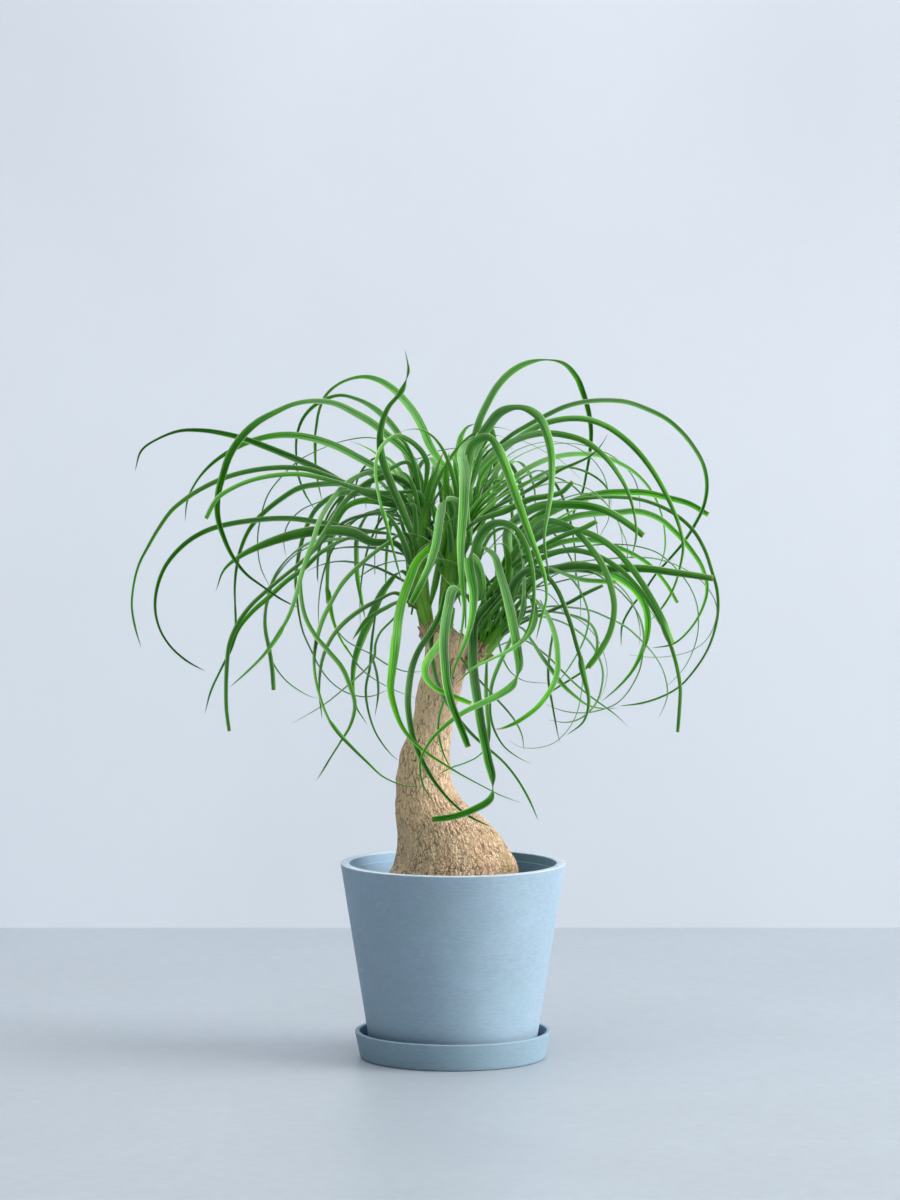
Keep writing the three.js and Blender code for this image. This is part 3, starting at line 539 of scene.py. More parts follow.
def mottle_group() -> bpy.types.NodeTree:
    """Clouds of lighter and darker tone over a colour.

    Returns:
        The group, which is built once.
    """
    if Effect.MOTTLE.value in bpy.data.node_groups:
        return bpy.data.node_groups[Effect.MOTTLE.value]
    tree = new_group(Effect.MOTTLE, [
        ("Color", "INPUT", "NodeSocketColor", None),
        ("Place", "INPUT", "NodeSocketVector", None),
        ("Scale", "INPUT", "NodeSocketFloat", 10.0),
        ("Amount", "INPUT", "NodeSocketFloat", 0.2),
        ("Color", "OUTPUT", "NodeSocketColor", None),
        ("Mask", "OUTPUT", "NodeSocketFloat", None),
    ])
    taken = tree.node("NodeGroupInput").outputs
    mask = tree.between(tree.noise(taken["Place"], taken["Scale"], 4.0, 0.6), 0.3, 0.7)
    low, high = tree.minus(1.0, taken["Amount"]), tree.plus(1.0, taken["Amount"])
    factor = tree.node("ShaderNodeMapRange", {"Value": mask, "To Min": low, "To Max": high}).outputs[0]
    tree.node("NodeGroupOutput", {"Color": tree.scaled(taken["Color"], factor), "Mask": mask})
    return tree.tree


def grain_group() -> bpy.types.NodeTree:
    """Fine grains as a mask and a height.

    Returns:
        The group, which is built once.
    """
    if Effect.GRAIN.value in bpy.data.node_groups:
        return bpy.data.node_groups[Effect.GRAIN.value]
    tree = new_group(Effect.GRAIN, [
        ("Place", "INPUT", "NodeSocketVector", None),
        ("Scale", "INPUT", "NodeSocketFloat", 500.0),
        ("Mask", "OUTPUT", "NodeSocketFloat", None),
        ("Height", "OUTPUT", "NodeSocketFloat", None),
    ])
    taken = tree.node("NodeGroupInput").outputs
    fine = tree.noise(taken["Place"], taken["Scale"], 2.0, 0.7)
    tree.node("NodeGroupOutput", {"Mask": tree.between(fine, 0.55, 0.72), "Height": fine})
    return tree.tree


@dataclass
class Finish:
    """A material with its Principled shader, ready to be fed."""

    name: str
    roughness: float
    material: bpy.types.Material = field(init=False)
    tree: Tree = field(init=False)
    shader: bpy.types.Node = field(init=False)
    end: bpy.types.Node = field(init=False)
    place: Socket = field(init=False)

    def __post_init__(self) -> None:
        """Makes the material, its shader and the place socket."""
        self.material = bpy.data.materials.new(self.name)
        self.material.use_nodes = True
        self.material.node_tree.nodes.clear()
        self.tree = Tree(self.material.node_tree)
        self.shader = self.tree.node("ShaderNodeBsdfPrincipled", {"Roughness": self.roughness})
        self.end = self.tree.node("ShaderNodeOutputMaterial", {"Surface": self.shader.outputs[0]})
        self.place = self.tree.node("ShaderNodeTexCoord").outputs["Object"]

    def mottled(self, colour: Socket | Colour, scale: float, amount: float) -> Socket:
        """A colour with clouds of lighter and darker tone over it.

        Args:
            colour: the colour.
            scale: how fine the clouds are.
            amount: how much lighter and darker they are.

        Returns:
            The clouded colour.
        """
        given = colour if isinstance(colour, Socket) else (*colour, 1.0)
        inputs = {"Color": given, "Place": self.place, "Scale": scale, "Amount": amount}
        return self.tree.node("ShaderNodeGroup", inputs, node_tree=mottle_group()).outputs["Color"]

    def grain(self, scale: float) -> bpy.types.Node:
        """The grain effect's node, which gives a mask and a height."""
        inputs = {"Place": self.place, "Scale": scale}
        return self.tree.node("ShaderNodeGroup", inputs, node_tree=grain_group())

    def feed(self, socket: str, value: Socket) -> None:
        """Links a value that changes over the surface to the shader."""
        self.tree.tree.links.new(value, self.shader.inputs[socket])

    def relief(self, height: Socket, strength: float, distance: float) -> None:
        """Feeds a height to the shader's normal."""
        inputs = {"Height": height, "Strength": strength, "Distance": distance}
        self.feed("Normal", self.tree.node("ShaderNodeBump", inputs).outputs[0])

    def mix_in(self, share: Value, other: Socket) -> None:
        """Shows a share of another shader's light with this one's."""
        mixed = self.tree.node("ShaderNodeMixShader", {0: share, 1: self.shader.outputs[0], 2: other})
        self.tree.tree.links.new(mixed.outputs[0], self.end.inputs["Surface"])


@dataclass(frozen=True)
class Look:
    """What every finish of the plant has. Scales of noise are in waves per metre."""

    name: str
    roughness: float

    def make(self) -> bpy.types.Material:
        """Builds the material."""
        finish = Finish(self.name, self.roughness)
        self.paint(finish, finish.tree)
        return finish.material

    def paint(self, finish: Finish, tree: Tree) -> None:
        """Adds the finish's own nodes.

        Args:
            finish: the new material.
            tree: its nodes.
        """
        raise NotImplementedError


@dataclass(frozen=True)
class GlazeFinish(Look):
    """Matt light blue-grey, with level streaks and specks. 'inside', 'shaded' and 'rim' are on the mesh. The
    lining has painted light and painted shade.
    """

    colour: Colour = (0.345, 0.470, 0.585)
    # inside and shaded: the lining's painted light where the window reaches it, and painted shade on its far
    # side
    inside: Colour = (0.400, 0.620, 0.860)
    shaded: Colour = (0.160, 0.330, 0.470)
    worn: Colour = (0.700, 0.780, 0.860)
    green: Colour = (0.270, 0.430, 0.470)
    speck: Colour = (0.75, 0.84, 0.90)
    fine_scale: Triple = (150.0, 150.0, 1000.0)
    broad_scale: Triple = (22.0, 22.0, 260.0)
    cloud_scale: float = 16.0
    green_scale: float = 30.0
    speck_scale: float = 900.0
    roughness: float = 0.60
    streaks: float = 0.096
    clouds: float = 0.045
    most_green: float = 0.35
    specks: float = 0.06
    bump: tuple[float, float] = (0.30, 0.0002)

    def paint(self, finish: Finish, tree: Tree) -> None:
        """Adds the finish's own nodes."""
        streak = tree.drawn_out(finish.place, self.fine_scale, 3.0, 0.7)
        broad = tree.drawn_out(finish.place, self.broad_scale, 3.0, 0.6)
        both = tree.plus(tree.times(streak, 0.85), tree.times(broad, 0.15))
        lighter = tuple(min(1.0, c * (1 + self.streaks)) for c in self.colour)
        darker = tuple(c * (1 - self.streaks) for c in self.colour)
        base = tree.ramp(tree.between(both, 0.3, 0.7), [(0.0, darker), (1.0, lighter)])
        clouds = finish.mottled(base, self.cloud_scale, self.clouds)
        grain = finish.grain(self.speck_scale)
        where_green = tree.between(tree.noise(finish.place, self.green_scale, 5.0, 0.65), 0.42, 0.70, 0.0,
                                   self.most_green)
        tint = tree.blend(where_green, clouds, self.green)
        pale = tree.blend(tree.times(grain.outputs["Mask"], self.specks), tint, self.speck)
        # painted light and painted shade on the lining, by the side it lies on
        lining = tree.blend(tree.attribute("shaded"), self.inside, self.shaded)
        faint = tree.ramp(tree.between(both, 0.3, 0.7), [(0.0, (0.86, 0.88, 0.90)), (1.0, (1.0, 1.0, 1.0))])
        lined = tree.blend(tree.attribute("inside"), pale, tree.blend(1.0, lining, faint, "MULTIPLY"))
        rubbed = tree.times(tree.attribute("rim"), tree.between(streak, 0.35, 0.65, 0.5, 0.9))
        finish.feed("Base Color", tree.blend(rubbed, lined, self.worn))
        finish.feed("Roughness", tree.between(both, 0.2, 0.8, self.roughness - 0.06, self.roughness + 0.08))
        height = tree.plus(tree.times(streak, 0.7), tree.times(grain.outputs["Height"], 0.3))
        finish.relief(height, *self.bump)


@dataclass(frozen=True)
class BarkFinish(Look):
    """Dry tan bark with dark cracks.

    'crack', 'rust', 'moss', 'high' and 'bleached' are on the mesh, from 0 to 1, the last of them painted
    light on the trunk's left side. The finest cracks are a net in the material, for which the mesh is too
    coarse.
    """

    name: str = "cracked_bark"
    pale: Colour = (1.00, 0.765, 0.510)
    tan: Colour = (0.62, 0.390, 0.235)
    pink: Colour = (0.70, 0.45, 0.33)
    dark: Colour = (0.105, 0.052, 0.028)
    rust: Colour = (0.30, 0.12, 0.045)
    moss: Colour = (0.40, 0.36, 0.13)
    # light: the colour of the painted light on the trunk's left side
    light: Colour = (1.00, 0.720, 0.410)
    fibre_scale: Triple = (420.0, 420.0, 120.0)
    fleck_scale: Triple = (760.0, 760.0, 430.0)
    pit_scale: Triple = (620.0, 620.0, 260.0)
    net_scale: Triple = (300.0, 300.0, 90.0)
    patch_scale: float = 55.0
    cloud_scale: float = 28.0
    grain_scale: float = 700.0
    roughness: float = 0.88
    clouds: float = 0.10
    # how strong that painted light is
    painted_light_share: float = 0.85
    net_width: float = 0.11
    net_wobble: float = 0.45
    bump: tuple[float, float] = (0.9, 0.0010)

    def paint(self, finish: Finish, tree: Tree) -> None:
        """Adds the finish's own nodes."""
        fibres = tree.drawn_out(finish.place, self.fibre_scale, 4.0, 0.7)
        flecks = tree.drawn_out(finish.place, self.fleck_scale, 2.0, 0.7)
        patches = tree.noise(finish.place, self.patch_scale)
        tone = tree.plus(tree.times(fibres, 0.4), tree.times(patches, 0.2))
        tone = tree.plus(tone, tree.times(flecks, 0.4))
        base = tree.ramp(tree.between(tone, 0.38, 0.62), [(0.0, self.tan), (1.0, self.pale)])
        pinkish = tree.times(tree.attribute("high"), tree.between(patches, 0.3, 0.6, 0.35, 0.75))
        clouds = finish.mottled(tree.blend(pinkish, base, self.pink), self.cloud_scale, self.clouds)
        rusty = tree.blend(tree.attribute("rust"), clouds, self.rust)
        # painted light on the trunk's left side, away from the window
        painted_light_left = tree.blend(tree.times(tree.attribute("painted_light_left"), self.painted_light_share), rusty, self.light)
        green = tree.blend(tree.attribute("moss"), painted_light_left, self.moss)
        pits = tree.between(tree.drawn_out(finish.place, self.pit_scale, 2.0, 0.6), 0.58, 0.70)
        net = self.net(finish, patches)
        crack = tree.math("MAXIMUM", tree.attribute("crack"), tree.times(pits, 0.5))
        crack = tree.math("MAXIMUM", crack, net)
        finish.feed("Base Color", tree.blend(crack, green, self.dark))
        finish.feed("Roughness", tree.between(tone, 0.3, 0.7, self.roughness, self.roughness - 0.12))
        grain = finish.grain(self.grain_scale)
        height = tree.plus(fibres, tree.times(grain.outputs["Height"], 0.5))
        height = tree.plus(tree.minus(height, tree.times(pits, 0.8)), tree.times(flecks, 0.8))
        finish.relief(tree.minus(height, tree.times(net, 0.6)), *self.bump)

    def net(self, finish: Finish, patches: Socket) -> Socket:
        """The net of fine cracks, which fades out high on the trunk.

        Args:
            finish: the material.
            patches: where the net is strong, from 0 to 1.

        Returns:
            How deep in such a crack a place lies, from 0 to 1.
        """
        tree = finish.tree
        spread = tree.stretched(finish.place, self.net_scale)
        inputs = {"Vector": spread, "Scale": self.net_wobble, "Detail": 3.0}
        wobble = tree.node("ShaderNodeTexNoise", inputs).outputs["Color"]
        bent = tree.node("ShaderNodeVectorMath", {0: spread, 1: wobble}, operation="ADD").outputs[0]
        edge = tree.node("ShaderNodeTexVoronoi", {"Vector": bent, "Scale": 1.0}, feature="DISTANCE_TO_EDGE")
        lines = tree.between(edge.outputs["Distance"], 0.0, self.net_width, 1.0, 0.0)
        net = tree.times(lines, tree.between(patches, 0.35, 0.60, 0.22, 0.75))
        return tree.times(net, tree.between(tree.attribute("high"), 0.0, 0.6, 1.0, 0.0))


@dataclass(frozen=True)
class LeafFinish(Look):
    """A long green blade with veins along it.

    'tone', 'pale', 'under' and 'dry' are on the mesh; 'pale' places a painted sheen, and one half of the
    blade gets painted shade. streak_scale is on the blade's UV places.
    """

    name: str = "leaf_blade"
    deep: Colour = (0.003, 0.058, 0.001)
    mid: Colour = (0.043, 0.335, 0.003)
    bright: Colour = (0.190, 0.700, 0.004)
    # sheen: the colour of a painted sheen
    sheen: Colour = (0.54, 0.80, 0.48)
    below: Colour = (0.110, 0.330, 0.050)
    # the blade's pale margin, partly its own edge colour and partly a painted glint
    pale_margin_and_glint: Colour = (0.640, 0.840, 0.420)
    yellow: Colour = (0.50, 0.42, 0.07)
    brown: Colour = (0.20, 0.10, 0.04)
    glow: Colour = (0.26, 0.66, 0.02)
    streak_scale: Triple = (7.0, 0.8, 1.0)
    patch_scale: float = 24.0
    veins: float = 4.5
    roughness: float = 0.21
    gloss: float = 0.09
    through: float = 0.22
    bump: tuple[float, float] = (0.45, 0.0003)

    def paint(self, finish: Finish, tree: Tree) -> None:
        """Adds the finish's own nodes."""
        uv = tree.node("ShaderNodeUVMap", uv_map=BLADE_UV).outputs[0]
        across = tree.node("ShaderNodeSeparateXYZ", {0: uv}).outputs[0]
        ribs = tree.math("SINE", tree.times(across, self.veins * 2 * math.pi))
        streak = tree.drawn_out(uv, self.streak_scale, 3.0, 0.75)
        lines = tree.plus(tree.times(ribs, 0.12), tree.times(streak, 2.1))
        patches = tree.noise(finish.place, self.patch_scale, 2.0)
        tone = tree.plus(tree.attribute("tone"), tree.minus(lines, 1.10))
        # painted shade: one half of the channelled blade darker than the other
        tone = tree.plus(tone, tree.times(tree.minus(across, 0.5), 0.35))
        tone = tree.plus(tone, tree.times(tree.minus(patches, 0.5), 0.30))
        green = tree.ramp(tone, [(0.0, self.deep), (0.5, self.mid), (1.0, self.bright)])
        # painted sheen, where the mesh's 'pale' says
        pale = tree.times(tree.attribute("pale"), tree.between(streak, 0.2, 0.8, 0.7, 1.0))
        sheen = tree.blend(pale, green, self.sheen)
        lower = tree.blend(tree.times(tree.attribute("under"), 0.45), sheen, self.below)
        edge = tree.math("ABSOLUTE", tree.minus(across, 0.5))
        # the pale margin: partly the blade's own edge colour, partly a painted glint
        rim = tree.times(tree.between(edge, 0.42, 0.47), tree.between(streak, 0.35, 0.6, 0.35, 0.85))
        # painted sheen growing toward the blade's edges
        lighter = tree.blend(tree.between(edge, 0.18, 0.45, 0.0, 0.22), lower, self.sheen)
        trimmed = tree.blend(rim, lighter, self.pale_margin_and_glint)
        wilt = tree.attribute("dry")
        yellow = tree.blend(tree.between(wilt, 0.05, 0.45), trimmed, self.yellow)
        colour = tree.blend(tree.between(wilt, 0.55, 0.9), yellow, self.brown)
        finish.shader.inputs["Specular IOR Level"].default_value = self.gloss
        finish.feed("Base Color", colour)
        finish.feed("Roughness", tree.between(streak, 0.2, 0.8, self.roughness - 0.06, self.roughness + 0.12))
        finish.relief(tree.plus(tree.times(ribs, 0.5), streak), *self.bump)
        shone_through = tree.node("ShaderNodeBsdfTranslucent", {"Color": tree.blend(0.65, colour, self.glow)})
        finish.mix_in(self.through, shone_through.outputs[0])


@dataclass(frozen=True)
class SheathFinish(Look):
    """Green leaf bases: pale and pinkish low down, fresh green above. 'rise' and 'groove' are on the mesh."""

    name: str = "leaf_sheath"
    foot: Colour = (0.40, 0.42, 0.16)
    low: Colour = (0.24, 0.52, 0.05)
    high: Colour = (0.090, 0.34, 0.015)
    # painted shade, down in the grooves between the leaf bases
    painted_groove_shade: Colour = (0.020, 0.090, 0.010)
    streak_scale: Triple = (500.0, 500.0, 40.0)
    cloud_scale: float = 60.0
    roughness: float = 0.45
    clouds: float = 0.15
    bump: tuple[float, float] = (0.4, 0.0004)

    def paint(self, finish: Finish, tree: Tree) -> None:
        """Adds the finish's own nodes."""
        streak = tree.drawn_out(finish.place, self.streak_scale, 3.0, 0.6)
        rise = tree.plus(tree.attribute("rise"), tree.times(tree.minus(streak, 0.5), 0.35))
        base = tree.ramp(rise, [(0.0, self.foot), (0.16, self.low), (0.7, self.high)])
        clouds = finish.mottled(base, self.cloud_scale, self.clouds)
        # painted shade in the grooves between the leaf bases
        finish.feed("Base Color", tree.blend(tree.times(tree.attribute("groove"), 0.45), clouds,
                                             self.painted_groove_shade))
        finish.feed("Roughness", tree.between(streak, 0.2, 0.8, self.roughness - 0.05, self.roughness + 0.15))
        finish.relief(streak, *self.bump)


@dataclass(frozen=True)
class HuskFinish(Look):
    """Dead, papery leaf bases, torn and curled, pinkish brown."""

    name: str = "dry_husk"
    light: Colour = (0.84, 0.60, 0.42)
    dark: Colour = (0.30, 0.125, 0.060)
    streak_scale: Triple = (700.0, 700.0, 120.0)
    cloud_scale: float = 120.0
    roughness: float = 0.8
    clouds: float = 0.2
    bump: tuple[float, float] = (0.6, 0.0004)

    def paint(self, finish: Finish, tree: Tree) -> None:
        """Adds the finish's own nodes."""
        streak = tree.drawn_out(finish.place, self.streak_scale, 4.0, 0.6)
        base = tree.ramp(tree.between(streak, 0.3, 0.7), [(0.0, self.dark), (1.0, self.light)])
        finish.feed("Base Color", finish.mottled(base, self.cloud_scale, self.clouds))
        finish.relief(streak, *self.bump)


@dataclass(frozen=True)
class SoilFinish(Look):
    """Dark, crumbly potting soil."""

    name: str = "potting_soil"
    light: Colour = (0.085, 0.055, 0.035)
    dark: Colour = (0.018, 0.012, 0.008)
    speck: Colour = (0.22, 0.16, 0.11)
    crumb_scale: float = 260.0
    speck_scale: float = 420.0
    roughness: float = 0.95
    bump: tuple[float, float] = (1.0, 0.0018)

    def paint(self, finish: Finish, tree: Tree) -> None:
        """Adds the finish's own nodes."""
        crumbs = tree.noise(finish.place, self.crumb_scale, 5.0, 0.7)
        base = tree.ramp(tree.between(crumbs, 0.35, 0.68), [(0.0, self.dark), (1.0, self.light)])
        specks = tree.times(finish.grain(self.speck_scale).outputs["Mask"], 0.5)
        finish.feed("Base Color", tree.blend(specks, base, self.speck))
        finish.relief(crumbs, *self.bump)


# ---- pot and saucer


@dataclass
class Turned:
    """A vessel turned round the pot's axis. Its mesh has 'inside', 'shaded' and, on a worn lip, 'rim'.
    Painted light and shade lie on the lining.

    Attributes:
        name: the piece and the CAD node it stands for.
        slot: the record's slot; not used.
        profile: [radius, height] points in metres, once round the section.
        floor: the lining starts above this height.
        lining: and within this radius there.
        widening: how much that radius grows with the height.
        worn: the lip is worn outside this radius and above this height, or None.
        capped: whether the profile's two ends are closed on the axis.
    """

    name: str
    slot: str
    profile: list[tuple[float, float]]
    floor: float
    lining: float
    widening: float
    worn: tuple[float, float] | None = None
    capped: bool = True

    STEPS = 192  # points round it
    # Cosines of the angle from +X, where the window is: painted light on the lining up to the first, painted
    # shade from the second on.
    SHADE_FROM, SHADE_TO = -0.3, 0.5

    def build(self, material: bpy.types.Material) -> None:
        """Makes the piece.

        Args:
            material: its finish.
        """
        outline = np.array(self.profile)
        angle = np.linspace(0, 2 * math.pi, self.STEPS, endpoint=False)
        shape = (len(outline), self.STEPS)
        radius, height = (np.broadcast_to(column[:, None], shape) for column in outline.T)
        rings = np.stack([radius * np.cos(angle), radius * np.sin(angle), height], axis=-1)
        lining = self.lining + (height - self.floor) * self.widening
        # painted shade on the lining's side near the window, which faces away from it
        shaded = step_between(self.SHADE_FROM, self.SHADE_TO, np.cos(angle))
        values = {"inside": ((radius < lining) & (height > self.floor)).astype(float),
                  "shaded": np.broadcast_to(shaded, shape)}
        if self.worn:
            values["rim"] = ((radius > self.worn[0]) & (height > self.worn[1])).astype(float)
        ends = (rings[0].mean(axis=0), rings[-1].mean(axis=0)) if self.capped else (None, None)
        add_piece(self.name, [Grid(rings, *ends, values=values)], material, (self.name,))


def rounded(points: list[Triple], steps: int = 6, longest: float = 0.006) -> list[tuple[float, float]]:
    """Rounds the corners of a profile and divides its straight runs into fine steps.

    Args:
        points: [radius, height, rounding] at each corner.
        steps: points on each rounded corner.
        longest: no straight step is much longer than this.

    Returns:
        The profile with the corners rounded.
    """
    corners = np.array([[r, h] for r, h, _ in points])
    line: list[tuple[float, float]] = []
    for index, (radius, height, size) in enumerate(points):
        here = corners[index]
        if size == 0 or index in (0, len(points) - 1):
            line.append((radius, height))
            continue
        before, after = corners[index - 1] - here, corners[index + 1] - here
        start = here + before / np.linalg.norm(before) * size
        stop = here + after / np.linalg.norm(after) * size
        for step in range(steps + 1):
            t = step / steps
            place = (1 - t) ** 2 * start + 2 * t * (1 - t) * here + t**2 * stop
            line.append((float(place[0]), float(place[1])))
    dense = [line[0]]
    for one, two in zip(line, line[1:]):
        gap = math.dist(one, two)
        pieces = max(1, int(gap / longest))
        for step in range(1, pieces + 1):
            t = step / pieces
            dense.append((one[0] + (two[0] - one[0]) * t, one[1] + (two[1] - one[1]) * t))
    return dense


@dataclass
class Vessels:
    """The tapered pot and the saucer under it: radii, heights and thicknesses."""

    pot_foot: float = 0.0732
    pot_rim: float = 0.100
    pot_bottom: float = 0.005
    pot_top: float = 0.174
    pot_wall: float = 0.008
    pot_floor: float = 0.007
    ledge_drop: float = 0.0075
    ledge_width: float = 0.0005
    drain: float = 0.009
    saucer_foot: float = 0.0825
    saucer_rim: float = 0.0875
    saucer_top: float = 0.024
    saucer_wall: float = 0.0045
    saucer_floor: float = 0.005
    saucer_middle: float = 0.012

    def inner(self, height: float) -> float:
        """Inner radius of the pot at a height."""
        share = (height - self.pot_bottom) / (self.pot_top - self.pot_bottom)
        return self.pot_foot + (self.pot_rim - self.pot_foot) * share - self.pot_wall

    def build(self) -> None:
        """Makes both vessels."""
        self.build_pot()
        self.build_saucer()

    def build_pot(self) -> None:
        """Makes the pot, with a thin ledge inside its lip."""
        floor = self.pot_bottom + self.pot_floor
        step = self.pot_top - self.ledge_drop
        profile = rounded([
            (self.drain, self.pot_bottom, 0),
            (self.pot_foot, self.pot_bottom, 0.0022),
            (self.pot_rim, self.pot_top, 0.0008),
            (self.pot_rim - self.pot_wall, self.pot_top, 0.0010),
            (self.inner(step) + 0.0001, step, 0.0003),
            (self.inner(step) - self.ledge_width, step - 0.0004, 0.0003),
            (self.inner(floor + 0.004), floor + 0.004, 0.002),
            (self.inner(floor) - 0.004, floor, 0.002),
            (self.drain, floor, 0),
            (self.drain, self.pot_bottom, 0),
        ])
        low, widening = floor + 0.001, 0.16
        lining = self.inner(0.0) + 0.0012 + low * widening
        worn = (self.pot_rim - self.pot_wall - 0.001, self.pot_top - 0.0006)
        pot = Turned("pot", "pot_glaze", profile, low, lining, widening, worn, capped=False)
        pot.build(GlazeFinish("pot_clay").make())

    def build_saucer(self) -> None:
        """Makes the saucer."""
        inner_foot = self.saucer_foot - self.saucer_wall
        profile = rounded([
            (self.saucer_middle, 0.0, 0),
            (self.saucer_foot, 0.0, 0.0022),
            (self.saucer_rim, self.saucer_top, 0.0012),
            (self.saucer_rim - self.saucer_wall, self.saucer_top, 0.0011),
            (inner_foot + 0.001, self.saucer_floor, 0.003),
            (self.saucer_middle, self.saucer_floor, 0),
        ])
        # the saucer's glaze is darker than the pot's as painted shade, and its lining darker still as painted
        # shadow of the pot
        darker = GlazeFinish("saucer_clay", colour=(0.275, 0.395, 0.490), inside=(0.150, 0.240, 0.330),
                             shaded=(0.100, 0.170, 0.240))
        low, lining = self.saucer_floor - 0.001, inner_foot + 0.0004
        Turned("saucer", "saucer_glaze", profile, low, lining, 0.28).build(darker.make())


@dataclass
class Soil:
    """Potting soil with crumbs and bark chips lying on it."""

    level: float = 0.146  # height near the pot's wall
    mound: float = 0.005  # how much higher its middle is
    lumps: float = 0.0022
    middle: float = 0.03  # radius of the smallest ring of points
    waist: float = 0.05  # height of a ring low in the pot
    bottom: float = 0.0125
    bottom_radius: float = 0.055
    chips: int = 240
    seed: int = 5

    def height(self, places: np.ndarray) -> np.ndarray:
        """Height of the surface.

        Args:
            places: x and y of each place.

        Returns:
            One height for each.
        """
        radius = np.linalg.norm(places, axis=-1)
        flat = np.concatenate([places, np.zeros((*places.shape[:-1], 1))], axis=-1)
        rough = rough_noise(flat, 0.012, self.seed, 4) * self.lumps
        return self.level + self.mound * (1 - radius / 0.09) + rough

    def build(self, vessels: Vessels) -> None:
        """Makes the soil and its chips.

        Args:
            vessels: the pot that holds it.
        """
        material = SoilFinish().make()
        reach = vessels.inner(self.level) - 0.0005
        sides = [vessels.inner(self.waist) - 0.001, self.bottom_radius]
        radii = np.concatenate([np.linspace(self.middle, reach, 70), sides])
        angle = np.linspace(0, 2 * math.pi, 220, endpoint=False)
        x, y = radii[:, None] * np.cos(angle), radii[:, None] * np.sin(angle)
        z = self.height(np.stack([x, y], axis=-1))
        z[-2:] = np.array([[self.waist], [self.bottom]])
        rings = np.stack([x, y, z], axis=-1)[::-1]
        skin = Grid(rings, UPWARD * self.bottom, UPWARD * (self.level + self.mound))
        add_piece("soil", [skin], material, ("soil",))
        draw = np.random.default_rng(self.seed)
        grids = []
        for _ in range(self.chips):
            turn = draw.uniform(0, 2 * math.pi)
            away = math.sqrt(draw.uniform(0.45, 1.0)) * (reach - 0.004)
            length = draw.uniform(0.0012, 0.0034)
            size = length * np.array([1.0, draw.uniform(0.5, 1.0), draw.uniform(0.35, 0.7)])
            spot = np.array([away * math.cos(turn), away * math.sin(turn)])
            centre = np.array([*spot, float(self.height(spot[None])[0]) + size[2] * 0.4])
            grids.append(pebble(centre, size, draw))
        add_piece("soil_crumbs", grids, material)


def pebble(centre: np.ndarray, size: np.ndarray, draw: np.random.Generator) -> Grid:
    """A small uneven lump.

    Args:
        centre: its middle.
        size: half its size along three axes.
        draw: random numbers.

    Returns:
        Its skin.
    """
    rows, sides = 5, 8
    polar = np.linspace(0.35, math.pi - 0.35, rows)[:, None]
    angle = np.linspace(0, 2 * math.pi, sides, endpoint=False)
    level = np.broadcast_to(np.cos(polar), (rows, sides))
    ball = np.stack([np.sin(polar) * np.cos(angle), np.sin(polar) * np.sin(angle), level], axis=-1)
    ball = ball * draw.uniform(0.8, 1.2, (rows, sides, 1)) * size
    turn = draw.uniform(0, 2 * math.pi)
    spin = np.array([[math.cos(turn), -math.sin(turn), 0], [math.sin(turn), math.cos(turn), 0], [0, 0, 1]])
    ball = ball[::-1] @ spin.T + centre
    return Grid(ball, centre - [0, 0, size[2]], centre + [0, 0, size[2]])


# ---- trunk and shoots


class Pattern(Enum):
    """The random patterns of the bark. The value keeps each one apart from the others."""

    FISSURES = 9
    WEB = 19
    PATCHES = 30
    LUMPS = 40
    GRIT = 50
    FIBRES_HIGH = 55
    FIBRES_LOW = 56
    RUST = 60
    MOSS = 70
    JAGS = 75
    PITS_HIGH = 80
    PIT_ROWS = 85
    PITS_LOW = 90


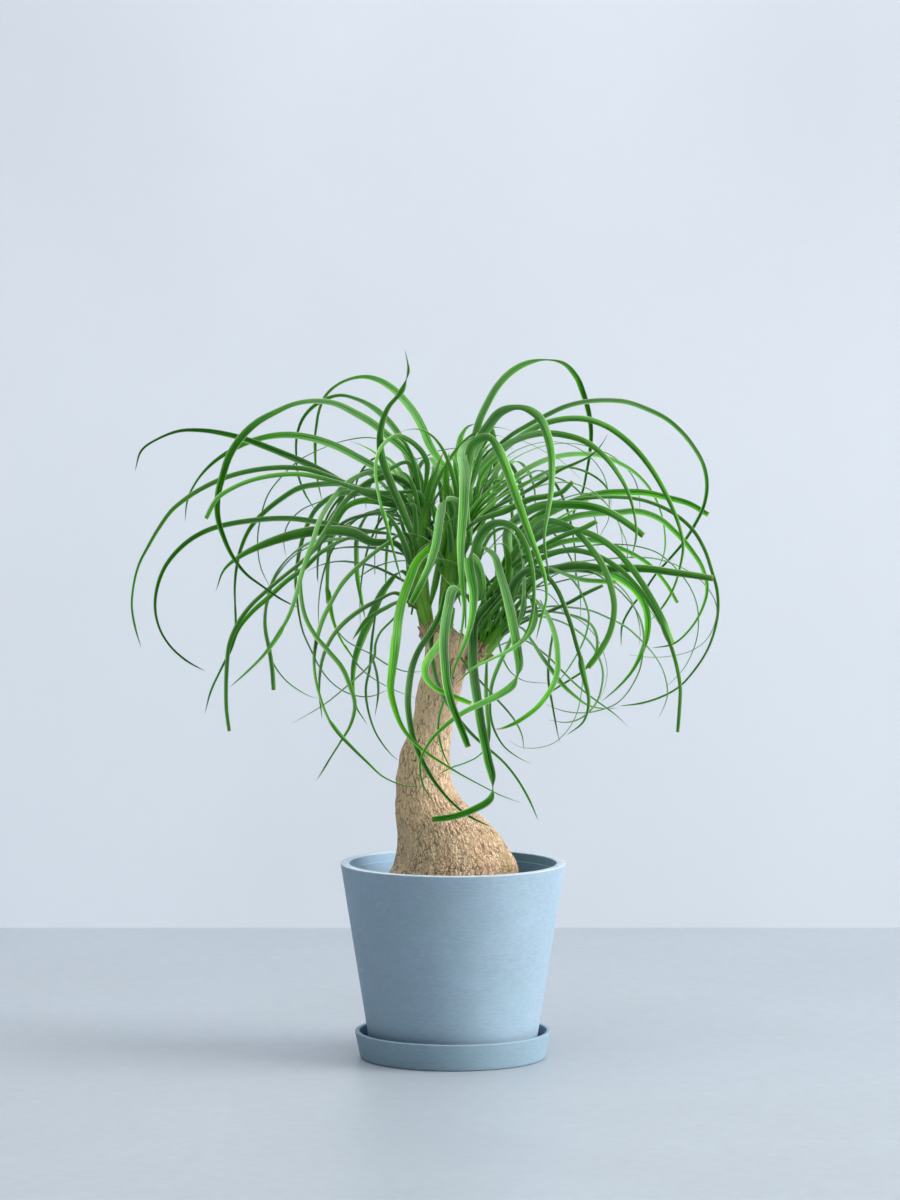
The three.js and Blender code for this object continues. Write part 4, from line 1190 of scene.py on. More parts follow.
@dataclass
class Trunk:
    """The woody stem: slim above, leaning, and swelling to the right where it enters the soil.

    Attributes:
        outline: places down the front view, with the left and right edge at each.
        buried: height in metres of each ring under the soil, and its width against the last one seen.
        depth_ratio: depth against width.
        rows: rings from top to bottom.
        sides: points round each ring.
    """

    outline: tuple[Triple, ...] = (
        (632, 434, 458), (636, 429, 464), (640, 427, 468), (655, 425, 470), (673, 422, 466), (686, 418, 462),
        (700, 415.6, 458), (717, 414, 454), (730, 411.5, 452), (740, 406, 450.5), (748, 402, 450),
        (768, 398, 451), (777, 396, 451), (788, 396.5, 455), (806, 395.4, 468), (817, 396, 482),
        (830, 397.5, 495), (849, 397, 508), (858, 396, 514.6), (866, 393, 518), (876, 388, 518.5),
    )
    buried: tuple[tuple[float, float], ...] = ((0.142, 1.0), (0.130, 0.95), (0.118, 0.8), (0.108, 0.5))
    depth_ratio: float = 0.92
    rows: int = 420
    sides: int = 400
    seed: int = 11

    END_DEPTH = 0.004  # how far the middle of either end lies below its rim

    def edges(self) -> np.ndarray:
        """Finds the silhouette.

        Returns:
            Left, right and height of each ring, from the top down.
        """
        seen = []
        for down, left, right in self.outline:
            one, two = VIEW.point(left, down, 0.0), VIEW.point(right, down, 0.0)
            seen.append((one[0], two[0], one[2]))
        left, right, _ = seen[-1]
        middle, half = (left + right) / 2, (right - left) / 2
        for height, grow in self.buried:
            seen.append((middle - half * grow, middle + half * grow, height))
        return np.array(seen)

    def seed_of(self, pattern: Pattern) -> int:
        """The seed of one pattern."""
        return self.seed + pattern.value

    def build(self) -> None:
        """Makes the trunk."""
        edges = self.edges()
        heights = np.linspace(edges[0, 2], edges[-1, 2], self.rows)
        order = np.argsort(edges[:, 2])
        left = smooth_at(edges[order, 2], edges[order, 0], heights)
        right = smooth_at(edges[order, 2], edges[order, 1], heights)
        angle = np.linspace(0, 2 * math.pi, self.sides, endpoint=False)
        half = ((right - left) / 2)[:, None]
        middle = ((right + left) / 2)[:, None]
        shape = (self.rows, self.sides)
        x, y, z = (np.broadcast_to(v, shape) for v in (np.cos(angle), np.sin(angle), heights[:, None]))
        points = np.stack([middle + half * x, half * self.depth_ratio * y, z], axis=-1)
        sideways = np.stack([x, y, np.zeros(shape)], axis=-1)
        depth, crack = self.relief(points, angle)
        below_top = (heights[0] - heights)[:, None]
        fade = step_between(0, 0.01, below_top) * step_between(0.10, 0.135, heights)[:, None]
        points = points + sideways * (depth * fade)[..., None]
        points = points + UPWARD * self.torn_top(angle, below_top)[..., None]
        high = step_between(0.27, 0.34, points[..., 2])
        # painted light on the trunk's left side, away from the window
        painted_light_left = np.broadcast_to(step_between(0.35, -0.7, np.cos(angle)), shape)
        values = {"crack": crack * fade, "rust": self.rust(points), "moss": self.moss(points), "high": high,
                  "painted_light_left": painted_light_left}
        top = np.array([*points[0].mean(axis=0)[:2], heights[0] - self.END_DEPTH])
        skin = Grid(points[::-1], points[-1].mean(axis=0) - UPWARD * self.END_DEPTH, top,
                    values={key: v[::-1] for key, v in values.items()})
        add_piece("trunk", [skin], BarkFinish().make(), ("trunk",))

    def relief(self, points: np.ndarray, angle: np.ndarray) -> tuple[np.ndarray, np.ndarray]:
        """Cracks, ribs and lumps of the bark: a coarse net low down, rows of pits higher up.

        Args:
            points: places on the smooth trunk.
            angle: angle round the trunk of each side.

        Returns:
            How far each place stands out, and how deep in a crack it lies, from 0 to 1.
        """
        run = np.cumsum(np.linalg.norm(np.diff(points, axis=0, prepend=points[:1]), axis=-1), axis=0)
        bend = np.stack([soft_noise(points, 0.012, self.seed + k) for k in range(3)], axis=-1) * 0.0011
        ring = np.stack([np.cos(angle), np.sin(angle)], axis=-1)

        def wrapped(radius: float, stretch: float) -> np.ndarray:
            """Places on the unrolled bark: as wide as at that radius, and stretched along the grain."""
            flat = np.broadcast_to(ring * radius, (*run.shape, 2))
            return np.concatenate([flat, (run / stretch)[..., None]], axis=-1) + bend

        slim, broad = wrapped(0.019, 3.0), wrapped(0.044, 3.6)
        low = step_between(0.275, 0.205, points[..., 2])
        foot = step_between(0.195, 0.170, points[..., 2])
        right = step_between(-0.6, 0.5, np.broadcast_to(np.cos(angle), run.shape))
        patchy = step_between(-0.30, 0.35, rough_noise(points, 0.022, self.seed_of(Pattern.PATCHES)))

        fissure = cell_border(broad, 0.0046, self.seed_of(Pattern.FISSURES))
        web = cell_border(broad * [1.0, 1.0, 2.4], 0.0024, self.seed_of(Pattern.WEB))
        deep = (1 - step_between(0.0, 0.085, fissure)) * (0.30 + 0.70 * patchy) * (0.30 + 0.70 * right)
        thin = (1 - step_between(0.0, 0.10, web)) * (0.40 + 0.60 * foot) * (1 - 0.3 * patchy)

        rows = soft_noise(slim * [1.0, 1.0, 0.12], 0.0020, self.seed_of(Pattern.PIT_ROWS))
        pits_high = step_between(0.38, 0.62, soft_noise(slim, 0.00105, self.seed_of(Pattern.PITS_HIGH)))
        pits_high = pits_high * (0.35 + 0.65 * step_between(-0.1, 0.4, rows))
        pits_low = step_between(0.50, 0.72, soft_noise(broad, 0.0013, self.seed_of(Pattern.PITS_LOW)))
        pits_low = pits_low * (1 - 0.6 * right)
        crack = np.maximum(np.maximum(deep, thin) * low, pits_high * (1 - low) * (0.5 + 0.5 * patchy))
        crack = np.clip(np.maximum(crack, pits_low * low * 0.8), 0, 1)

        fibres = soft_noise(slim, 0.0026, self.seed_of(Pattern.FIBRES_HIGH)) * (1 - low)
        fibres = fibres + soft_noise(broad, 0.0032, self.seed_of(Pattern.FIBRES_LOW)) * low
        lumps = rough_noise(points, 0.030, self.seed_of(Pattern.LUMPS)) * 0.0011
        lumps = lumps + rough_noise(points, 0.005, self.seed_of(Pattern.GRIT)) * 0.0003
        plates = step_between(0.0, 0.5, fissure) * 0.0004 * low
        return lumps + plates + fibres * 0.0004 - crack * (0.0007 + 0.0003 * low), crack

    def torn_top(self, angle: np.ndarray, below_top: np.ndarray) -> np.ndarray:
        """Makes the trunk's top a ragged rim.

        Args:
            angle: angle round the trunk of each side.
            below_top: how far each row lies below the top.

        Returns:
            How far each place is lifted.
        """
        turned = np.stack([np.cos(angle) * 0.012, np.sin(angle) * 0.012, angle * 0], axis=-1)
        jags = rough_noise(turned, 0.0045, self.seed_of(Pattern.JAGS)) * 0.0020
        return jags * step_between(0.010, 0.0, below_top)

    def rust(self, points: np.ndarray) -> np.ndarray:
        """Finds where the bark is reddish: low at both sides, and in spots.

        Args:
            points: places on the trunk.

        Returns:
            How reddish each is, from 0 to 1.
        """
        aside = step_between(0.020, 0.050, abs(points[..., 0] - 0.003))
        spots = step_between(0.05, 0.6, rough_noise(points, 0.018, self.seed_of(Pattern.RUST))) * 0.22
        return np.clip(step_between(0.182, 0.160, points[..., 2]) * aside * 0.70 + spots, 0, 1)

    def moss(self, points: np.ndarray) -> np.ndarray:
        """Finds where the bark is greenish: low at the right, in patches.

        Args:
            points: places on the trunk.

        Returns:
            How greenish each is, from 0 to 1.
        """
        right = step_between(0.0, 0.045, points[..., 0]) * step_between(0.235, 0.18, points[..., 2])
        patches = step_between(-0.2, 0.4, rough_noise(points, 0.012, self.seed_of(Pattern.MOSS)))
        return right * patches * 0.55


@dataclass(frozen=True)
class ShootShape:
    """One bundle of leaf bases.

    Attributes:
        node: the CAD node it stands for.
        axis: middle line in the front view, from the trunk up.
        depth: depth at the start and the end.
        radii: radius at even steps along it.
        ribs: leaf bases seen round it.
        collar: the first and last place where husks start, of COLLAR_STEPS along it.
    """

    node: str
    axis: tuple[tuple[float, float], ...]
    depth: tuple[float, float]
    radii: tuple[float, ...]
    ribs: int
    collar: tuple[int, int]


COLLAR_STEPS = 60  # points along a shoot that husks can start at

SHOOTS = (
    ShootShape(
        "shoot_left",
        ((436, 652), (431, 640), (427.5, 628), (424.5, 612), (420, 590), (417, 560), (421, 524), (426, 496)),
        (0.0, 0.004), (0.0070, 0.0068, 0.0088, 0.0082, 0.0035), 6, (4, 9)),
    ShootShape(
        "shoot_middle",
        ((451, 646), (448, 634), (445, 620), (445.5, 606), (449, 585), (453, 565), (457, 542), (461, 514),
         (465, 488)),
        (-0.004, -0.006), (0.0060, 0.0062, 0.0086, 0.0080, 0.0035), 6, (1, 12)),
    ShootShape(
        "shoot_right_upper", ((462, 660), (470, 648), (478, 634), (485, 622), (494, 604), (501, 588)),
        (0.008, 0.010), (0.0060, 0.0064, 0.0060, 0.0050, 0.0035), 4, (8, 22)),
    ShootShape(
        "shoot_right_lower", ((466, 668), (476, 659), (485, 650), (493, 640), (504, 626), (513, 614)),
        (-0.008, -0.009), (0.0058, 0.0064, 0.0062, 0.0050, 0.0035), 4, (8, 20)),
)


@dataclass
class Shoots:
    """The green bundles that carry the leaves, with dry husks at their feet."""

    sides: int = 72
    rows: int = 90
    rib_depth: float = 0.0009
    husks: int = 18  # at each shoot, and round the trunk's rim
    husk_rows: int = 9
    husk_seed: int = 23
    rim_left: tuple[float, float] = (427.5, 641)  # the ends of that rim in the front view
    rim_right: tuple[float, float] = (467.5, 641)

    def build(self) -> None:
        """Makes every shoot and the husks round the trunk's top."""
        green = SheathFinish().make()
        for shape in SHOOTS:
            add_piece(shape.node, [self.bundle(shape)], green, (shape.node,))
        husk = HuskFinish().make()
        draw = np.random.default_rng(self.husk_seed)
        for shape in SHOOTS:
            grids = [self.husk(shape, draw) for _ in range(self.husks)]
            add_piece(f"{shape.node}_husks", grids, husk)
        turns = np.linspace(0, 2 * math.pi, self.husks)
        add_piece("trunk_husks", [self.rim_husk(turn, draw) for turn in turns], husk)

    def line(self, shape: ShootShape, count: int) -> np.ndarray:
        """Finds the middle line of a shoot.

        Args:
            shape: which shoot.
            count: how many points.

        Returns:
            The points, from the trunk up.
        """
        depths = np.linspace(*shape.depth, len(shape.axis))
        points = np.array([VIEW.point(u, v, d) for (u, v), d in zip(shape.axis, depths)])
        return smooth_line(points, count)

    def frame(self, line: np.ndarray) -> tuple[np.ndarray, np.ndarray]:
        """Finds two directions square to a line.

        Args:
            line: its points.

        Returns:
            The directions across and behind it at each point.
        """
        ways = unit(np.gradient(line, axis=0))
        across = squared(np.broadcast_to([1.0, 0.0, 0.0], ways.shape), ways)
        return across, np.cross(ways, across)

    def bundle(self, shape: ShootShape) -> Grid:
        """The bundle with a rib for each leaf base, which overlap as scales.

        Args:
            shape: which shoot.

        Returns:
            Its skin.
        """
        line = self.line(shape, self.rows)
        across, behind = self.frame(line)
        along = np.linspace(0, 1, self.rows)[:, None]
        angle = np.linspace(0, 2 * math.pi, self.sides, endpoint=False)[None, :]
        twist = angle * shape.ribs / (2 * math.pi) + along * 1.6
        part = twist - np.floor(twist)
        scale = np.sqrt(part)
        groove = step_between(0.22, 0.0, part) + step_between(0.9, 1.0, part) * 0.5
        steps = np.linspace(0, 1, len(shape.radii))
        radius = smooth_at(steps, np.array(shape.radii), along[:, 0])[:, None]
        radius = radius + self.rib_depth * (scale - 0.6) * (1 - 0.4 * along)
        rings = line[:, None] + radius[..., None] * (
            np.cos(angle)[..., None] * across[:, None] + np.sin(angle)[..., None] * behind[:, None])
        values = {"rise": np.broadcast_to(along, part.shape), "groove": np.clip(groove, 0, 1)}
        return Grid(rings, line[0], line[-1], values=values)

    def husk(self, shape: ShootShape, draw: np.random.Generator) -> Grid:
        """A torn, curled strip of a dead leaf base at a shoot's foot.

        Args:
            shape: which shoot.
            draw: random numbers.

        Returns:
            Its skin.
        """
        line = self.line(shape, COLLAR_STEPS)
        across, behind = self.frame(line)
        start = int(draw.integers(*shape.collar))
        turn = draw.uniform(0, 2 * math.pi)
        length = draw.uniform(0.005, 0.012)
        width = draw.uniform(0.004, 0.008)
        side = math.cos(turn) * across[start] + math.sin(turn) * behind[start]
        tangent = -math.sin(turn) * across[start] + math.cos(turn) * behind[start]
        upward = unit(line[start + 1] - line[start])
        grow = np.linspace(0, 1, self.husk_rows)[:, None]
        curl = draw.uniform(0.0005, 0.0025)
        steps = np.linspace(0, 1, len(shape.radii))
        radius = smooth_at(steps, np.array(shape.radii), np.array([start / COLLAR_STEPS]))[0]
        centre = line[start] + side * (radius + draw.uniform(0.0002, 0.0022)) + upward * (grow * length)
        centre = centre + side * (curl * grow**2) + tangent * (draw.uniform(-0.002, 0.002) * grow**2)
        wide = width * (1 - 0.75 * grow**1.5) * draw.uniform(0.8, 1.2, (self.husk_rows, 1))
        return self.strip(centre, tangent, side, wide)

    def rim_husk(self, turn: float, draw: np.random.Generator) -> Grid:
        """A torn strip of bark that stands on the trunk's rim.

        Args:
            turn: where it stands round the rim.
            draw: random numbers.

        Returns:
            Its skin.
        """
        left, right = VIEW.point(*self.rim_left, 0.0), VIEW.point(*self.rim_right, 0.0)
        half = (right[0] - left[0]) / 2
        side = np.array([math.cos(turn), math.sin(turn), 0.0])
        tangent = np.array([-math.sin(turn), math.cos(turn), 0.0])
        grow = np.linspace(0, 1, self.husk_rows)[:, None]
        length, width = draw.uniform(0.008, 0.015), draw.uniform(0.005, 0.010)
        start = (left + right) / 2 + side * half * [0.97, 0.89, 1.0] - UPWARD * 0.002
        lean = draw.uniform(-0.014, -0.005)
        centre = start + UPWARD * (grow * length) + side * (lean * grow**1.5)
        centre = centre + tangent * (draw.uniform(-0.003, 0.003) * grow**2)
        wide = width * (1 - 0.8 * grow**1.3) * draw.uniform(0.8, 1.2, (self.husk_rows, 1))
        return self.strip(centre, tangent, side, wide)

    def strip(self, centre: np.ndarray, tangent: np.ndarray, side: np.ndarray, wide: np.ndarray) -> Grid:
        """A thin strip, curled round its length.

        Args:
            centre: its middle line.
            tangent: the way across it.
            side: the way that its face looks.
            wide: its width at each point.

        Returns:
            Its skin.
        """
        curl, half_thick = 0.0012, 0.0002
        wrap = np.linspace(-1, 1, 7)
        bow = side * (curl * wrap**2)[None, :, None]
        top = centre[:, None] + tangent * (wrap * wide / 2)[..., None] - bow
        rings = np.concatenate([top + side * half_thick, top[:, ::-1] - side * half_thick], axis=1)
        return Grid(rings, centre[0], centre[-1])


# ---- leaves


class Tone(Enum):
    """How a leaf is coloured: its place from deep to bright green, and how pale its painted sheen is."""

    DEEP = ("D", 0.22, 0.0)
    MID = ("M", 0.50, 0.06)
    BRIGHT = ("B", 0.80, 0.0)
    # mid green greyed by a strong painted sheen
    GREY_SHEEN = ("G", 0.48, 0.34)

    @property
    def letter(self) -> str:
        """The letter that stands for the tone in a list."""
        return self.value[0]

    @classmethod
    def of(cls, letter: str) -> "Tone":
        """The tone with that letter."""
        return next(tone for tone in cls if tone.letter == letter)


@dataclass
class Strap:
    """One blade, as sections along its middle line.

    Attributes:
        name: the piece's name.
        line: centre, across and width of each section, as (section, 7).
        tone: its colour.
        cut: the tip was trimmed off square.
        replaced: the CAD node it stands for, if any.
        seed: for the small differences between leaves.
    """

    name: str
    line: np.ndarray
    tone: Tone
    cut: bool
    replaced: tuple[str, ...] = ()
    seed: int = 0

    SPACING = 0.0028  # between sections
    COLUMNS = 9  # points across
    CHANNEL = 0.25  # depth of the channel against the width
    BROAD = 1.13  # width against the CAD leaf's, whose edges are straight from ring to ring
    FACING = 0.5  # how strongly it turns to the viewer
    THICK = 0.00050  # in the middle
    EDGE = 0.00016  # thickness at the edges
    CLASP = 0.22  # part of the length over which it widens and opens from the shoot on
    TIP = 0.020  # length over which a whole tip narrows to a point
    SLIMMING = (0.6, 0.85)  # part of the length where it starts to narrow, and the share left
    UV_LENGTH = 20  # UV places for each metre of its length
    # painted sheen on faces that look toward the window and the ceiling
    SHINING = (0.45, -0.20, 0.87)  # faces that look this way are paler

    def build(self, material: bpy.types.Material) -> None:
        """Makes the blade.

        Args:
            material: the leaf finish.
        """
        length = float(np.linalg.norm(np.diff(self.line[:, :3], axis=0), axis=1).sum())
        count = max(24, int(length / self.SPACING))
        fine = smooth_line(self.line, count)
        centre, along = fine[:, :3], np.linspace(0, 1, count)
        ways = unit(np.gradient(centre, axis=0))
        across = squared(fine[:, 3:6], ways)
        if self.replaced:
            across = turned_to_viewer(centre, ways, across, FACINGS.get(self.name, self.FACING))
        out = np.cross(across, ways)
        if out[: count * 3 // 5, 2].sum() < 0:
            across, out = -across, -out
        wave = soft_noise(np.stack([along * length, along * 0, along * 0], axis=1), 0.03, self.seed)
        width = self.widths(fine[:, 6], centre, along, length)
        fold = self.CHANNEL * (1 + 0.3 * wave + 0.7 * step_between(self.CLASP, 0.0, along))
        u = np.linspace(-1, 1, self.COLUMNS)
        lift = np.sqrt(u**2 + 0.006)[None, :] * (fold * width)[:, None]
        thick = (self.THICK * (1 - u**2) + self.EDGE)[None, :] * np.clip(width / 0.004, 0.35, 1)[:, None]
        flat = centre[:, None] + across[:, None] * (u[None, :] * width[:, None] / 2)[..., None]
        upper = flat + out[:, None] * (lift + thick / 2)[..., None]
        lower = flat + out[:, None] * (lift - thick / 2)[..., None]
        rings = np.concatenate([upper, lower[:, ::-1]], axis=1)
        shape = rings.shape[:2]
        place = (u + 1) / 2
        place = np.concatenate([place, place[::-1]])
        uv = np.stack([np.broadcast_to(place, shape),
                       np.broadcast_to((along * length * self.UV_LENGTH)[:, None], shape)], axis=-1)
        under = np.concatenate([np.zeros(self.COLUMNS), np.ones(self.COLUMNS)])
        values = {key: np.broadcast_to(numbers[:, None], shape)
                  for key, numbers in self.colours(along, length, wave, out).items()}
        values["under"] = np.broadcast_to(under[None, :], shape)
        tip = centre[-1] + ways[-1] * (0.0003 if self.cut else 0.001)
        skin = Grid(rings, centre[0], tip, uv, values)
        add_piece(self.name, [skin], material, self.replaced, crisp=True)

    def widths(self, given: np.ndarray, centre: np.ndarray, along: np.ndarray, length: float) -> np.ndarray:
        """Works out how wide the blade is.

        Args:
            given: the width of each section before its ends are shaped.
            centre: the middle line.
            along: part of the length at each section.
            length: the blade's length.

        Returns:
            The width of each section.
        """
        width = given * self.BROAD
        if self.cut:
            width = width * np.where(along > 1 - 0.003 / length, 0.92, 1.0)
        else:
            width = width * np.clip((1 - along) * length / self.TIP, 0.02, 1) ** 0.6
        start, share = SLIM.get(self.name, self.SLIMMING)
        width = width * (1 - (1 - share) * step_between(start, start + 0.4, along))
        width = width * (1 - 0.50 * step_between(self.CLASP, 0.0, along))
        for place, share, reach in PINCHES.get(self.name, ()):
            away = np.linalg.norm(VIEW.seen(centre) - np.array(place), axis=1) * POINT_SIZE
            width = width * (1 - (1 - share) * np.exp(-((away / reach) ** 2)))
        return width

    def colours(self, along: np.ndarray, length: float, wave: np.ndarray,
                out: np.ndarray) -> dict[str, np.ndarray]:
        """Works out how the blade's colour changes along it.

        Args:
            along: part of the length at each section.
            length: the blade's length.
            wave: slow random hills along it.
            out: the way that the face looks at each section.

        Returns:
            The mesh's 'tone', 'pale' (a painted sheen) and 'dry' at each section.
        """
        draw = np.random.default_rng(self.seed)
        _, depth, sheen = self.tone.value
        tone = depth + draw.uniform(-0.10, 0.10) + 0.14 * step_between(0.25, 0.0, along) + 0.06 * wave
        # painted sheen on the arch's crest and on faces that look toward the light
        crest = np.exp(-((along - 0.34) / 0.17) ** 2)
        facing = step_between(0.55, 0.98, out @ unit(np.array(self.SHINING)))
        pale = sheen * (0.30 + 0.85 * crest + 0.3 * wave) + 0.12 * crest + 0.18 * facing
        return {"tone": tone, "pale": np.clip(pale, 0, 1), "dry": self.dryness(along, length, draw)}

    def dryness(self, along: np.ndarray, length: float, draw: np.random.Generator) -> np.ndarray:
        """How dry the blade is at each section: 0 green, 1 brown.

        Args:
            along: part of the length.
            length: the blade's length.
            draw: random numbers.

        Returns:
            One number for each section.
        """
        left = (1 - along) * length
        if self.cut:
            return 0.28 * step_between(0.0009, 0.0002, left)
        reach = draw.choice([0.002, 0.004, 0.010], p=[0.5, 0.35, 0.15])
        return step_between(reach, 0.0, left) * draw.uniform(0.5, 0.9)


def outward(along: np.ndarray) -> np.ndarray:
    """How far out a leaf has come: slow, fast, then slow again.

    Args:
        along: parts of its length.

    Returns:
        The share of its reach at each.
    """
    start = 0.13 * math.pi
    angle = start + (math.pi - start) * along
    return (math.cos(start) - np.cos(angle)) / (math.cos(start) + 1)


def carried_across(line: np.ndarray, roll: float) -> np.ndarray:
    """Directions across a blade, turned level and a little to the viewer, and flat in its bends.

    Args:
        line: the blade's middle line.
        roll: how far it is turned to the viewer.

    Returns:
        One direction for each point of the line.
    """
    ways = unit(np.gradient(line, axis=0))
    carried = np.cross(ways[0], UPWARD)
    if carried[1] < 0:
        carried = -carried
    found = []
    for index, way in enumerate(ways):
        seen = unit(np.cross(unit(line[index] - np.array(VIEW.eye)), way))
        wish = unit(carried)
        parts = [(np.cross(way, UPWARD), 1.0), (seen, roll)]
        if 0 < index < len(ways) - 1:
            parts.append((np.cross(ways[index - 1], ways[index + 1]), 4.0))
        for direction, share in parts:
            wish = wish + direction * share * (1 if np.dot(wish, direction) >= 0 else -1)
        carried = unit(carried * 0.6 + unit(wish) * 0.4)
        carried = squared(carried[None], way[None])[0]
        found.append(carried)
    return np.array(found)


def turned_to_viewer(line: np.ndarray, ways: np.ndarray, across: np.ndarray, share: float) -> np.ndarray:
    """Turns a blade round its middle line so that the front view sees more of its face.

    Args:
        line: the middle line.
        ways: directions along it.
        across: directions across the blade.
        share: how strongly it turns at its base. Its tip turns three times as strongly.

    Returns:
        The new directions across the blade.
    """
    seen = unit(np.cross(unit(line - np.array(VIEW.eye)), ways))
    carried = across[0]
    found = []
    shares = share * np.linspace(1.0, 3.0, len(line))
    for way, own, wanted, strength in zip(ways, across, seen, shares):
        wish = own * np.copysign(1.0, np.dot(own, carried))
        wish = wish + wanted * np.copysign(strength, np.dot(wanted, carried))
        carried = squared((carried * 0.7 + unit(wish) * 0.3)[None], way[None])[0]
        found.append(carried)
    return np.array(found)


@dataclass
class Crown:
    """All the leaves. Tones are given by their letters, and the shoots by their places in SHOOTS."""

    tones: dict[str, str] = field(default_factory=lambda: {
        "leaf_left": "DGDDMDMMMDMDMBDDDMDMB",
        "leaf_front": "MBGGMMMDDDBDM",
        "leaf_right": "DGGDMMDGMDMDGGMMMD",
    })
    heart_leaves: int = 72
    heart_shoots: tuple[int, ...] = (0, 1, 1, 3, 2, 0, 1)
    heart_tones: str = "BBMBGBMD"
    back_leaves: int = 26
    back_tones: str = "DMMBDM"
    back_cut: float = 0.3  # share of the back leaves that is cut
    seed: int = 41  # for the shapes of back leaves, and the next number for young ones
    thin_seed: int = 300  # what the leaves of a kind count on from
    heart_seed: int = 700
    back_seed: int = 500

    SECTIONS = 12  # along a young leaf or a back leaf

    def build(self, frame: dict) -> None:
        """Makes every leaf.

        Args:
            frame: the loaded CAD model.
        """
        material = LeafFinish().make()
        shoots = np.concatenate([mesh_points(frame["nodes"][shape.node]) for shape in SHOOTS])
        for group, letters in self.tones.items():
            for index, letter in enumerate(letters, 1):
                node = f"{group}_{index:02d}"
                line, cut = cad_sections(frame["nodes"][node], shoots)
                Strap(node, line, Tone.of(letter), cut, (node,), index * 7 + len(group)).build(material)
        for index, thin in enumerate(THIN_LEAVES, 1):
            name = f"thin_leaf_{index:02d}"
            seen, width, reach, letter, cut = thin
            line = traced_sections(seen, width, reach)
            Strap(name, line, Tone.of(letter), cut, (), self.thin_seed + index).build(material)
        draw = np.random.default_rng(self.seed + 1)
        for index in range(self.heart_leaves):
            place = self.heart_shoots[index % len(self.heart_shoots)]
            line = self.heart_leaf(SHOOTS[place], draw)
            letter = self.heart_tones[index % len(self.heart_tones)]
            # the young leaves of the shoots at the right are made bright as painted light, where the crown
            # shades them
            tone = Tone.BRIGHT if place in (2, 3) else Tone.of(letter)  # the shoots at the right
            name = f"heart_leaf_{index + 1:02d}"
            Strap(name, line, tone, False, (), self.heart_seed + index).build(material)
        draw = np.random.default_rng(self.seed)
        for index in range(self.back_leaves):
            line = self.back_leaf(draw)
            tone = Tone.of(self.back_tones[index % len(self.back_tones)])
            cut = bool(draw.uniform() < self.back_cut)
            name = f"back_leaf_{index + 1:02d}"
            Strap(name, line, tone, cut, (), self.back_seed + index).build(material)

    def heart_leaf(self, shape: ShootShape, draw: np.random.Generator) -> np.ndarray:
        """A short young leaf that rises from a shoot and bends a little out.

        Args:
            shape: the shoot.
            draw: random numbers.

        Returns:
            Its sections.
        """
        ends = [VIEW.point(*place, shape.depth[1]) for place in (shape.axis[-3], shape.axis[-1])]
        start = ends[0] + (ends[1] - ends[0]) * draw.uniform(-0.9, 0.8)
        turn = draw.uniform(0, 2 * math.pi)
        side = np.array([math.cos(turn), math.sin(turn), 0.0])
        up = unit(ends[1] - ends[0] + UPWARD * 0.04)
        t = np.linspace(0, 1, self.SECTIONS)[:, None]
        length, lean = draw.uniform(0.040, 0.090), draw.uniform(0.30, 1.1)
        line = (start + side * 0.003 + up * length * (np.sin(t * math.pi * draw.uniform(0.40, 0.62)))
                + side * length * lean * t**1.5)
        width = draw.uniform(0.0032, 0.0056) * np.clip(1.15 - 0.9 * t[:, 0] ** 1.6, 0.2, 1)
        return np.concatenate([line, carried_across(line, 0.6), width[:, None]], axis=1)

    def back_leaf(self, draw: np.random.Generator) -> np.ndarray:
        """A leaf that arches to the back, behind those that the front view shows.

        Args:
            draw: random numbers.

        Returns:
            Its sections.
        """
        turn = math.radians(draw.uniform(20, 160))
        reach = draw.uniform(0.07, 0.155)
        rise = draw.uniform(0.015, 0.06)
        drop = draw.uniform(0.03, 0.13)
        start = np.array([draw.uniform(-0.03, 0.02), 0.004, draw.uniform(0.44, 0.485)])
        way = np.array([math.cos(turn) * 1.1, math.sin(turn), 0.0])
        t = np.linspace(0, 1, self.SECTIONS)[:, None]
        out = reach * np.sin(t * math.pi * 0.52) ** 1.1
        lift = rise * np.sin(np.clip(t * 1.9, 0, 1) * math.pi / 2) * 1.4
        lift = lift - drop * np.clip(t - 0.42, 0, 1) ** 1.5 * 2.2
        line = start + way * out + UPWARD * lift
        width = draw.uniform(0.0035, 0.0062) * np.clip(1 - (t[:, 0] - 0.4).clip(0) ** 1.6 * 1.9, 0.3, 1)
        return np.concatenate([line, carried_across(line, 0.3), width[:, None]], axis=1)


def mesh_points(node: bpy.types.Object) -> np.ndarray:
    """Reads the points of an object's mesh.

    Args:
        node: the object.

    Returns:
        x, y and z of each point.
    """
    points = np.empty(len(node.data.vertices) * 3)
    node.data.vertices.foreach_get("co", points)
    return points.reshape(-1, 3)


def rings_from(start: int, near: list[set[int]]) -> list[list[int]]:
    """Groups the points of a skin by how many edges they lie from one point.

    Args:
        start: that point.
        near: the points that share an edge with each point.

    Returns:
        The groups, from one edge away on.
    """
    reached = {start}
    groups = [sorted(near[start])]
    while groups[-1]:
        reached.update(groups[-1])
        following = {other for index in groups[-1] for other in near[index]} - reached
        groups.append(sorted(following))
    return groups[:-1]


CUT_GAP = 0.003  # a CAD leaf whose last ring lies nearer than this to its tip is cut square
BASE_SHARES = (0.72, 0.82, 0.92)  # widths of the first sections against the next one's
ROOTED = 0.012  # how far the finer blade goes on behind the CAD leaf's base
TUCKED = 0.8  # share of the way to the nearest point of the shoot that it goes aside there


